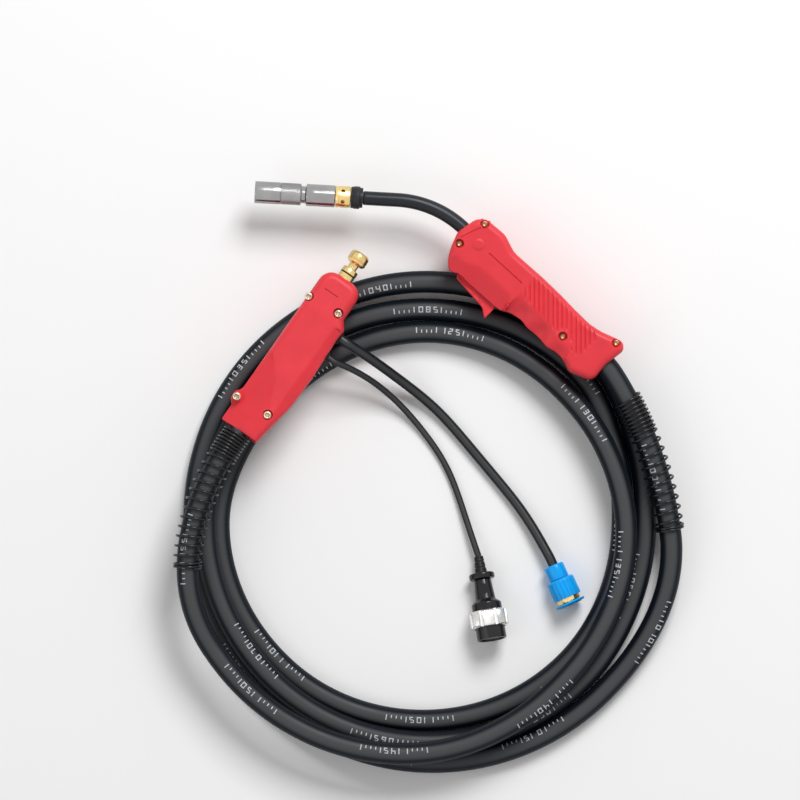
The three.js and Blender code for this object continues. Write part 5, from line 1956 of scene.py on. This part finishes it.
@dataclass
class MainCable:
    """The thick cable, wound in almost four turns, and the two bend-relief springs on it."""

    layout: Layout
    bench: Bench
    radius: float = 11.0
    start: tuple = (160.0, 168.0, 175.0)
    bend_start: tuple = (177.8, 151.3, 41.3)
    bend_heading: float = -57.0
    bend_drop: float = 3.0
    bend_lean: float = 9.0
    bend_radius: float = 390.0
    bend_length: float = 172.0
    turn_start: float = 43.0
    join_reach: float = 62.0
    leave_reach: float = 80.0
    leave_rise: float = 9.0
    leave_straight: float = 8.0
    inside_housing: float = 34.0
    spring_share: float = 0.625
    mark_count: int = 31
    mark_lean: float = 34.0
    spring_from: float = 29.0
    spring_coil: float = 13.75
    spring_wire: float = 1.2
    coil: tuple = (
        (88, 239.5, 11), (133, 238.5, 11), (178, 238, 11), (223, 237.5, 11), (268, 242, 11), (313, 241, 11),
        (358, 232, 11), (380, 220, 11), (392, 215.7, 11), (403, 213.2, 11), (425, 213.5, 11.5),
        (448, 216.4, 13.5), (493, 218.2, 21.6), (538, 222.5, 27), (583, 225.5, 30.5), (606, 222.5, 27),
        (628, 218.6, 13.5), (651, 216.5, 11), (673, 213.5, 11), (718, 208.5, 11), (740, 197.5, 11),
        (763, 190.3, 11), (808, 193, 11), (853, 197, 11), (898, 206, 11), (943, 213, 11), (966, 205, 11),
        (988, 195.6, 11), (1033, 191, 11), (1055, 188.5, 16), (1078, 186.5, 24), (1100, 188.5, 32),
        (1123, 193, 34), (1168, 202, 36.5), (1190, 213, 41), (1213, 227, 43.5), (1236, 238, 44.5),
        (1258, 246.5, 45.5), (1273, 251, 47),
    )

    def at_turn(self, turns: Points) -> Points:
        """Points of the coil, in the drawing's axes.

        Args:
            turns: degrees wound clockwise at each.

        Returns:
            The points.
        """
        rows = np.array(self.coil, float)
        keys = rows[:, 0]
        index = np.clip(np.searchsorted(keys, turns, side="left") - 1, 0, len(rows) - 2)
        before = np.maximum(np.arange(len(rows)) - 1, 0)
        after = np.minimum(np.arange(len(rows)) + 1, len(rows) - 1)
        slope = (rows[after] - rows[before]) / (keys[after] - keys[before])[:, None]
        width = (keys[index + 1] - keys[index])[:, None]
        t = (turns[:, None] - keys[index][:, None]) / width
        value = (
            (1 + 2 * t) * (1 - t) ** 2 * rows[index] + t * (1 - t) ** 2 * width * slope[index]
            + t * t * (3 - 2 * t) * rows[index + 1] + t * t * (t - 1) * width * slope[index + 1]
        )
        angle = np.radians(self.turn_start - turns)
        height = np.maximum(value[:, 2], self.radius)
        return np.column_stack([value[:, 1] * np.cos(angle), value[:, 1] * np.sin(angle), height])

    def bend(self, at: Points) -> Points:
        """Points of the bend behind the handle, at lengths along it.

        Args:
            at: the lengths.

        Returns:
            The points, in the drawing's axes.
        """
        heading, drop, lean = (math.radians(a) for a in (self.bend_heading, self.bend_drop, self.bend_lean))
        forward = np.array([
            math.cos(heading) * math.cos(drop), math.sin(heading) * math.cos(drop), -math.sin(drop),
        ])
        inward = np.array([
            math.sin(heading) * math.cos(lean), -math.cos(heading) * math.cos(lean), -math.sin(lean),
        ])
        inward = unit(inward - (inward @ forward) * forward)
        angle = np.asarray(at, float)[:, None] / self.bend_radius
        return (
            np.array(self.bend_start) + self.bend_radius * np.sin(angle) * forward
            + self.bend_radius * (1 - np.cos(angle)) * inward
        )

    def bezier(self, start: Points, start_way: Points, end: Points, end_way: Points, reach: float) -> Points:
        """A bend that is drawn by its ends and its ends' directions.

        Args:
            start: where it starts.
            start_way: its direction there.
            end: where it ends.
            end_way: its direction there.
            reach: how strongly the directions hold.

        Returns:
            The points.
        """
        t = np.linspace(0, 1, 60)[:, None]
        first, second = start + start_way * reach, end - end_way * reach
        return (1 - t) ** 3 * start + 3 * t * (1 - t) ** 2 * first + 3 * t * t * (1 - t) * second + t**3 * end

    def heading(self, turn: float) -> Points:
        """Which way the coil runs, on the level.

        Args:
            turn: the degrees wound.

        Returns:
            The direction.
        """
        ends = self.at_turn(np.array([turn - 1, turn + 1]))
        way = ends[1] - ends[0]
        return unit([way[0], way[1], 0])

    def line(self) -> tuple[Points, Points]:
        """The centreline in metres, and the part of it that lies before the housing.

        Returns:
            Both lines' points.
        """
        drawing, housing = self.layout.drawing(), self.layout.housing()
        handle = self.layout.handle()
        inside_handle = np.array([handle.point(x) for x in self.start])
        bend = self.bend(np.linspace(0, self.bend_length, 60))
        ends = self.bend(np.array([self.bend_length - 1, self.bend_length]))
        first, last = self.coil[0][0], self.coil[-1][0]
        begin = self.at_turn(np.array([first]))[0]
        join = self.bezier(ends[1], unit(ends[1] - ends[0]), begin, self.heading(first), self.join_reach)
        wound = self.at_turn(np.linspace(first, last, 1400))
        way = self.heading(last - 1)
        way[2] = self.leave_rise / self.leave_reach
        to_drawing = (np.array([housing.point(-self.leave_straight)]) - drawing.origin) / MM
        leave = self.bezier(wound[-1], way, to_drawing[0], housing.axes[0], self.leave_reach)
        whole = np.vstack([
            inside_handle, drawing.put(np.vstack([bend, join[1:], wound[1:], leave[1:]])),
            [housing.point(self.inside_housing)],
        ])
        before = evenly(np.vstack([drawing.put(leave), [housing.point(-GAP)]]), 2 * MM)
        kept = lengths(before) > (lengths(before)[-1] - self.leave_straight * MM) * (1 - self.spring_share)
        return evenly(whole, 5.5 * MM), before[kept]

    def spring(self, coils: WireCoil, name: str, node: str, body: str, line: Points, tight: float,
               pitch: tuple) -> None:
        """One bend-relief spring: close turns first, then open ones, then a few close ones.

        Args:
            coils: what winds it.
            name: the piece's name.
            node: what it replaces.
            body: its body.
            line: its middle.
            tight: how many close turns come first.
            pitch: of the close turns and of the open ones, in millimetres.
        """
        at = lengths(line) / MM
        close = 2 * self.spring_wire + 0.15
        start = self.spring_wire
        marks = [(0, 0.0), (start, 0.0), (start + tight * pitch[0], tight)]
        rest = at[-1] - start - marks[-1][0] - 2 * close
        wide = rest / pitch[1]
        marks += [(marks[-1][0] + rest, tight + wide), (at[-1] - start, tight + wide + 2.2),
                  (at[-1], tight + wide + 2.2)]
        turns = np.interp(at, [mark[0] for mark in marks], [mark[1] for mark in marks])
        kept = (at >= start) & (at <= at[-1] - start)
        made = coils.wind(self.bench, name, line[kept], turns[kept], self.spring_coil, self.spring_wire,
                          "spring_wire")
        self.bench.finish(made, "spring_wire", body, [node], 60)

    def strokes(self, number: int) -> list[tuple[float, float, float, float]]:
        """One plain length mark: ticks with a number between them.

        Args:
            number: the number.

        Returns:
            Each stroke's ends along the cable and round it, in millimetres.
        """
        bars = {"a": (1.1, 3.5, 5.0, 6.0), "g": (1.1, 3.5, 2.5, 3.5), "d": (1.1, 3.5, 0, 1.0),
                "f": (0, 1.05, 3.1, 6.0),
                "e": (0, 1.05, 0, 2.9), "b": (3.55, 4.6, 3.1, 6.0), "c": (3.55, 4.6, 0, 2.9)}
        digits = ["abcdef", "bc", "abged", "abgcd", "fgbc", "afgcd", "afgedc", "abc", "abcdefg", "abcdfg"]
        ticks = [(5.0 * tick, 5.0 * tick + 1.05, 0.2, 5.8 if tick % 4 == 0 else 3.2) for tick in range(5)]
        made, at = list(ticks), 25.0
        for digit in f"{number:03d}":
            for bar in digits[int(digit)]:
                first, last, low, high = bars[bar]
                made.append((at + first, at + last, low, high))
            at += 7.4
        return made + [(at + first, at + last, low, high) for first, last, low, high in ticks]

    def marks(self, line: Points) -> bpy.types.Object:
        """Printed length marks along the cable's upper side.

        Args:
            line: the cable's middle.

        Returns:
            The marks as one piece.
        """
        far = lengths(line) / MM
        side, up = level_frames(line)
        shapes = []
        for number in range(1, self.mark_count + 1):
            start = number * far[-1] / (self.mark_count + 1) - 36
            lean = math.radians(self.mark_lean * math.sin(number * 2.4))
            for first, last, low, high in self.strokes(number * 5):
                shapes.append(self.stroke(line, far, side, up, (start + first, start + last), (low, high),
                                          lean))
        made = self.bench.mesh("length_marks", joined(shapes))
        return self.bench.finish(made, "print_white", "root")

    def stroke(self, line: Points, far: Points, side: Points, up: Points, along: tuple, across: tuple,
               lean: float) -> Shape:
        """A stroke of a printed mark, as a thin pad bent round the cable.

        Args:
            line: the cable's middle.
            far: how far along each of its points is.
            side: the direction to the side at each.
            up: the direction upwards at each.
            along: the stroke's ends along the cable.
            across: its ends round the cable.
            lean: how far the mark is turned round the cable.

        Returns:
            The pad.
        """
        rings = []
        for at in np.linspace(*along, 3):
            middle, way, top = (
                np.array([np.interp(at, far, values[:, axis]) for axis in range(3)])
                for values in (line, side, up)
            )
            angles = lean + (np.linspace(-across[1], -across[0], 4) + 3.0) / self.radius
            rings.append([
                middle + (way * math.sin(a) + top * math.cos(a)) * radius * MM
                for radius, row in ((self.radius + 0.05, angles), (self.radius - 0.25, angles[::-1]))
                for a in row
            ])
        return skin(np.array(rings))

    def cable(self) -> bpy.types.Object:
        """The cable itself, with its printed length marks.

        Returns:
            The cable.
        """
        line, _ = self.line()
        made = self.bench.tube("cable_sheath", line, self.radius, 48, "sheath", "main_cable")
        self.marks(line).name
        return made

    def springs(self, coils: WireCoil) -> None:
        """Both springs."""
        _, before = self.line()
        bend = self.layout.drawing().put(self.bend(np.linspace(self.spring_from, self.bend_length, 80)))
        self.spring(coils, "loose_spring_wire", "handle_spring", "loose_spring", bend, 9.5, (4.2, 9.8))
        self.spring(coils, "fixed_spring_wire", "housing_spring", "root", before[::-1], 8.5, (3.4, 9.2))


@dataclass
class GasHose:
    """The gas hose with its blue fitting."""

    layout: Layout
    bench: Bench
    radius: float = 4.9
    exit: tuple = (133.0, -31.3)
    first: float = 8.0
    route: tuple = (
        (-75.5, 174, 42.5), (-60.3, 163.8, 36), (-47.5, 154.6, 28), (-35.4, 145.6, 20), (-22, 135.7, 12.6),
        (-9, 125.9, 7.6), (2.8, 116.4, 5.5), (12.8, 105.8, 5.1), (31, 84.2, 5.1), (50, 61.5, 5.1),
        (68.2, 39.6, 5.1), (80, 26, 5.4), (90.5, 12.6, 6.4), (99, -1, 8), (106.5, -13.6, 9.9),
        (113, -26, 11.8),
    )

    def line(self) -> Points:
        """The hose's middle, in metres.

        Returns:
            The points.
        """
        housing, fitting, drawing = self.layout.housing(), self.layout.fitting(), self.layout.drawing()
        x, y = self.exit
        ends = [housing.point(x, y), housing.point(x, y - self.first)]
        points = [*ends, *drawing.put(np.array(self.route, float)), fitting.point(-8.3), fitting.point(-GAP)]
        return evenly(relaxed(evenly(smooth_line(points, 16), 2.5 * MM), 130, 5), 2.5 * MM)

    def hose(self) -> None:
        """The hose, with its fitting."""
        line = self.line()
        made = self.bench.tube("hose_skin", line, self.radius, 32, "hose", "gas_hose")
        self.fitting()
        LOG.info("hose: %.3f m", lengths(line)[-1])

    def fitting(self) -> list[str]:
        """The fitting's pieces.

        Returns:
            Their names.
        """
        place = self.layout.fitting()
        names = []

        def add(name: str, shape: Shape, finish: str, body: str, node: str, crease: float = 32) -> None:
            """Makes one and keeps its name."""
            self.bench.piece(name, shape, place, finish, body, [node], crease=crease)
            names.append(name)

        sleeve = [(0, 5.2), (0, 8.9), (0.3, 9.5), (1, 10.0), (1.6, 10.2), (14.3, 10.2), (14.8, 10), (15, 9.6),
                  (15, 6.6), (4, 6.6), (4, 5.2)]

        def ribbed(count: int, depth: float, low: float, high: float, above: float) -> Callable:
            """Fine grooves between two lengths, on the outside.

            Args:
                count: how many grooves.
                depth: how deep.
                low: where they start.
                high: where they end.
                above: the least radius that has them.

            Returns:
                The form, for lathe.
            """
            def form(along: Points, radius: Points, angle: Points) -> Points:
                """The radius with the grooves.

                Args:
                    along: how far along each point is.
                    radius: its radius.
                    angle: its angle.

                Returns:
                    The radius.
                """
                held = (along > low) & (along < high) & (radius > above)
                wave = np.abs(np.sin(angle * count / 2)) ** 0.35
                return np.where(held, radius - depth * (1 - wave), radius)
            return form

        add("hose_sleeve_skin", lathe(sleeve, 96), "blue_nylon", "root", "hose_sleeve")
        r = 14.25
        cover = [(15.3, 10.6), (15.3, r - 2.0), (15.5, r - 1.4), (16.4, r - 0.5), (17.2, r - 0.1), (18, r),
                 (18.4, r), (19, r), (25, r), (34.6, r), (35.1, r - 0.3), (35.3, r - 0.8), (35.3, 12.2),
                 (16.8, 12.2), (16.8, 10.6)]
        add("nut_cover_skin", lathe(cover, 180, ribbed(18, 0.75, 17.1, 35.4, 12.6)), "blue_nylon", "gas_nut",
            "nut_cover")

        def hexed(along: Points, radius: Points, angle: Points) -> Points:
            """Six flats, with the corners turned off towards the ends."""
            flat = 10.2 / np.cos((angle % (math.pi / 3)) - math.pi / 6)
            return np.where(radius > 9.9, np.minimum(radius, flat), radius)

        nut = [(17.2, 6.8), (17.2, 10.4), (18, 11.8), (38.6, 11.8), (39.3, 11.0), (39.8, 10.2), (39.8, 8.7),
               (39.4, 8.3), (30.5, 8.3), (30.5, 6.8)]
        add("nut_skin", lathe(nut, 120, hexed), "turned_brass", "gas_nut", "gas_nut")
        cap = [(40.1, 0), (40.1, 14.2), (40.3, 15.1), (40.8, 15.5), (41.6, 15.45), (42.3, 14.9), (42.6, 14.2),
               (42.4, 13.4), (42.5, 12.6), (43.3, 11.6), (43.6, 10.8), (43.6, 3), (43.2, 2.2), (43.2, 0)]
        spigot = [(30.2, 0), (30.2, 6.3), (30.8, 6.85), (40.3, 6.85), (40.3, 0)]
        disc = joined([lathe(cap, 96), lathe(spigot, 48)])
        add("cap_skin", disc, "blue_nylon", "gas_cap", "gas_cap")
        barbs = [(0.2, 2.5), (0.2, 4.3)]
        for number in range(4):
            barbs += [(1.2 + number * 3, 4.85), (1.5 + number * 3, 4.85), (1.7 + number * 3, 4.4),
                      (3.9 + number * 3, 4.2)]
        barbs += [(16, 4.8), (17, 6.2), (29, 6.2), (29.5, 5.8), (29.5, 2.5)]
        add("nipple_skin", lathe(barbs, 48), "turned_brass", "root", "hose_nipple")
        return names


@dataclass
class ControlLead:
    """The control lead with its round plug."""

    layout: Layout
    bench: Bench
    radius: float = 3.2
    exit: tuple = (111.0, -31.3)
    first: float = 8.0
    route: tuple = (
        (-83.3, 156.2, 41.5), (-72, 150.3, 35.6), (-61, 143.4, 28), (-50, 135.4, 20.2), (-39.8, 126.8, 13.2),
        (-29.4, 116.6, 7.6), (-19.6, 105.6, 4.4), (-2, 83, 3.3), (7.4, 70.4, 3.3), (15.6, 57, 3.3),
        (22, 40.5, 3.4), (28, 23, 4), (32, 10, 5.2), (36.5, -4, 7.2), (41.2, -18, 9.8),
    )

    def line(self) -> Points:
        """The lead's middle, in metres.

        Returns:
            The points.
        """
        housing, plug, drawing = self.layout.housing(), self.layout.control(), self.layout.drawing()
        x, y = self.exit
        ends = [housing.point(x, y), housing.point(x, y - self.first)]
        points = [*ends, *drawing.put(np.array(self.route, float)), plug.point(-GAP)]
        return evenly(relaxed(evenly(smooth_line(points, 16), 2.0 * MM), 180, 5), 2.0 * MM)

    def lead(self) -> None:
        """The lead, with its plug."""
        line = self.line()
        made = self.bench.tube("lead_skin", line, self.radius, 28, "lead", "control_lead")
        self.plug()
        LOG.info("lead: %.3f m", lengths(line)[-1])

    def plug(self) -> list[str]:
        """The plug's pieces.

        Returns:
            Their names.
        """
        place = self.layout.control()
        names = []

        def add(name: str, shape: Shape, finish: str, body: str, node: str,
                tools: Sequence[Shape] = ()) -> None:
            """Makes one and keeps its name."""
            self.bench.piece(name, shape, place, finish, body, [node], tools)
            names.append(name)

        boot = [(0, 3.5), (0, 4.1), (0.4, 4.5)]
        for number in range(5):
            low, size = 1.6 + number * 3, 4.6 + 0.28 * number
            boot += [(low, size), (low + 0.25, size - 0.75), (low + 1.15, size - 0.7),
                     (low + 1.4, size + 0.1)]
        boot += [(16.6, 6), (17, 5.7), (17, 3.5)]

        def netted(along: Points, radius: Points, angle: Points) -> Points:
            """Bridges between the rings, in turns to each side.

            Args:
                along: how far along each point is.
                radius: its radius.
                angle: its angle.

            Returns:
                The radius.
            """
            row = np.floor((along - 1.3) / 3).astype(int)
            turned = (angle + (row % 2) * math.pi / 4) % (math.pi / 2)
            bridge = np.abs(turned - math.pi / 4) > math.pi / 4 - 0.28
            full = 4.5 + 0.1 * (along - 0.4)
            held = (along > 1.7) & (along < 16) & (radius > 3.6) & bridge
            return np.where(held, np.maximum(radius, full - 0.1), radius)

        add("boot_skin", lathe(boot, 96, netted), "seal", "root", "lead_boot")
        ring = rounded([(17.3, 5), (17.3, 12.75), (23.3, 12.75), (23.3, 5)], 1.8, 6)
        add("flange_skin", lathe(ring, 80), "black_gloss", "root", "plug_flange")
        shell = [(23.6, 5), (23.6, 7.9), (24.1, 8.5), (43.6, 10), (45, 11), (47.4, 14.2), (48.2, 14.8),
                 (49, 15), (54.9, 15), (55.3, 14.6), (55.3, 14), (65.2, 14), (65.6, 13.6), (65.6, 5)]
        oval = [(34 + 5.6 * math.cos(a), 3.6 * math.sin(a)) for a in np.linspace(0, 2 * math.pi, 33)[:-1]]
        recess = prism(oval, 8.3, 14)
        other = prism(oval, -14, -8.3)
        add("shell_skin", lathe(rounded(shell, 0.5), 96), "black_gloss", "root", "plug_shell",
            [recess, other])

        def lobed(along: Points, radius: Points, angle: Points) -> Points:
            """Eight round grooves along the nut, and fine lines between them.

            Args:
                along: how far along each point is.
                radius: its radius.
                angle: its angle.

            Returns:
                The radius.
            """
            turn = (angle % (math.pi / 4)) - math.pi / 8
            across = 19.4 * np.sin(turn)
            inward = 19.4 * np.cos(turn) - np.sqrt(np.maximum(2.3**2 - across**2, 0))
            held = (radius > 17) & (np.abs(across) < 2.3)
            fine = np.where(np.abs(across) > 2.6, 0.22 * np.abs(np.sin(angle * 40)), 0)
            return np.where(held, np.minimum(radius, inward), np.where(radius > 17.8, radius - fine, radius))

        nut = [(55.6, 15.6), (55.6, 16.6), (56, 17.2), (57, 18.5), (58, 19), (70.2, 19), (71.2, 18.5),
               (72.2, 17.4), (72.6, 16.6), (72.6, 15.6)]
        add("lock_nut_skin", lathe(nut, 320, lobed), "nickel_plate", "lock_nut", "lock_nut")
        face = [(65.9, 0), (65.9, 14.5), (66.2, 14.7), (83.8, 14.7), (84.4, 14.4), (84.6, 13.9), (84.6, 12.9),
                (84.2, 12.6), (83.3, 12.5), (83.3, 0)]
        holes = []
        for number in range(5):
            angle = math.radians(number * 72 + 18)
            peg = prism(circle(8 * math.cos(angle), 8 * math.sin(angle), 1.6, 20), 75.6, 90)
            holes.append(peg.turned(0, 2, -90))
        add("insert_skin", lathe(face, 72), "black_gloss", "root", "plug_insert", holes)
        return names


@dataclass
class InnerParts:
    """What stays as it was packed, inside the shells: it gets its finish only."""

    paint: Paintshop
    finishes: dict = field(default_factory=lambda: {
        "cable_clamp": "plain_steel", "cable_core": "lead", "cable_ferrule": "bare_copper",
        "cable_lug": "bare_copper", "conduit_block": "dull_brass", "housing_conductor": "bare_copper",
        "neck_block": "dull_brass", "neck_tube": "bare_copper", "switch_body": "black_nylon",
        "switch_lead_1": "lead", "switch_lead_2": "lead", "switch_plunger": "blue_nylon",
        "trigger_spring": "plain_steel", "wire_liner": "plain_steel",
    })

    def dress(self) -> None:
        """Paints them."""
        for node, finish in self.finishes.items():
            piece = frame["nodes"][node]
            piece.data.materials.clear()
            piece.data.materials.append(self.paint.get(finish))
        LOG.info("inner parts: %d", len(self.finishes))


# ---- Studio ----


@dataclass
class Studio:
    """Camera, floor and soft light."""

    centre: tuple = (-0.0291, 0.07685)
    distance: float = 8.0
    lens: float = 360.0

    def camera(self) -> None:
        """A camera straight above, with up as +Y."""
        data = bpy.data.cameras.new("camera")
        data.lens, data.sensor_width = self.lens, 36.0
        data.clip_start, data.clip_end = 0.5, 30.0
        made = bpy.data.objects.new("camera", data)
        made.location = (*self.centre, self.distance)
        bpy.context.scene.collection.objects.link(made)
        bpy.context.scene.camera = made

    def floor(self) -> None:
        """A plain pale floor."""
        data = bpy.data.meshes.new("floor")
        size = 30.0
        data.from_pydata([(-size, -size, 0), (size, -size, 0), (size, size, 0), (-size, size, 0)], [],
                         [(0, 1, 2, 3)])
        made = bpy.data.objects.new("floor", data)
        material = bpy.data.materials.new("floor")
        material.use_nodes = True
        shader = material.node_tree.nodes["Principled BSDF"]
        shader.inputs["Base Color"].default_value = (0.97, 0.97, 0.97, 1)
        shader.inputs["Roughness"].default_value = 0.9
        shader.inputs["Specular IOR Level"].default_value = 0.0
        data.materials.append(material)
        bpy.context.scene.collection.objects.link(made)

    def lamp(self, name: str, at: tuple, size: tuple, power: float) -> None:
        """A soft rectangular lamp that faces the object.

        Args:
            name: its name.
            at: where it is, in metres.
            size: its width and height.
            power: in watts.
        """
        data = bpy.data.lights.new(name, "AREA")
        data.shape, data.size, data.size_y, data.energy = "RECTANGLE", *size, power
        made = bpy.data.objects.new(name, data)
        made.location = at
        made.rotation_euler = Vector(at).to_track_quat("Z", "Y").to_euler()
        bpy.context.scene.collection.objects.link(made)

    def world(self) -> None:
        """A white surrounding, which lights the object less than it shows."""
        world = bpy.data.worlds.new("world")
        bpy.context.scene.world = world
        world.use_nodes = True
        tree = NodeTree(world.node_tree)
        world.node_tree.nodes.clear()
        path = tree.add("ShaderNodeLightPath").outputs
        seen = tree.maths("MAXIMUM", path["Is Camera Ray"], path["Is Transmission Ray"])
        seen = tree.maths("MAXIMUM", seen, path["Is Glossy Ray"])
        strength = tree.spread(seen, 0.0, 1.0, 0.40, 1.0)
        light = tree.add("ShaderNodeBackground", {"Color": (1, 1, 1, 1), "Strength": strength})
        out = tree.add("ShaderNodeOutputWorld")
        tree.link(light.outputs[0], out.inputs["Surface"])

    def light(self) -> None:
        """All of the light."""
        self.world()
        self.lamp("key", (1.0, 2.6, 3.1), (1.7, 1.7), 122.0)
        self.lamp("fill", (-2.4, -0.9, 2.8), (2.0, 2.0), 12.0)
        bpy.context.scene.view_settings.view_transform = "Standard"


def main() -> None:
    """Builds the torch, piece by piece."""
    logging.basicConfig(level=logging.INFO, format="%(message)s")
    studio = Studio()
    studio.camera()
    layout, bench = Layout(), Bench(Paintshop())
    cable = MainCable(layout, bench)
    cable.cable()
    GasHose(layout, bench).hose()
    ControlLead(layout, bench).lead()
    cable.springs(WireCoil())
    fasteners = Fasteners()
    FrontEnd(layout, bench).build()
    Handle(layout, bench, fasteners).build()
    Housing(layout, bench, fasteners).build()
    InnerParts(bench.paint).dress()
    studio.floor()
    studio.light()
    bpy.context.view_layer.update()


if __name__ == "__main__":
    main()
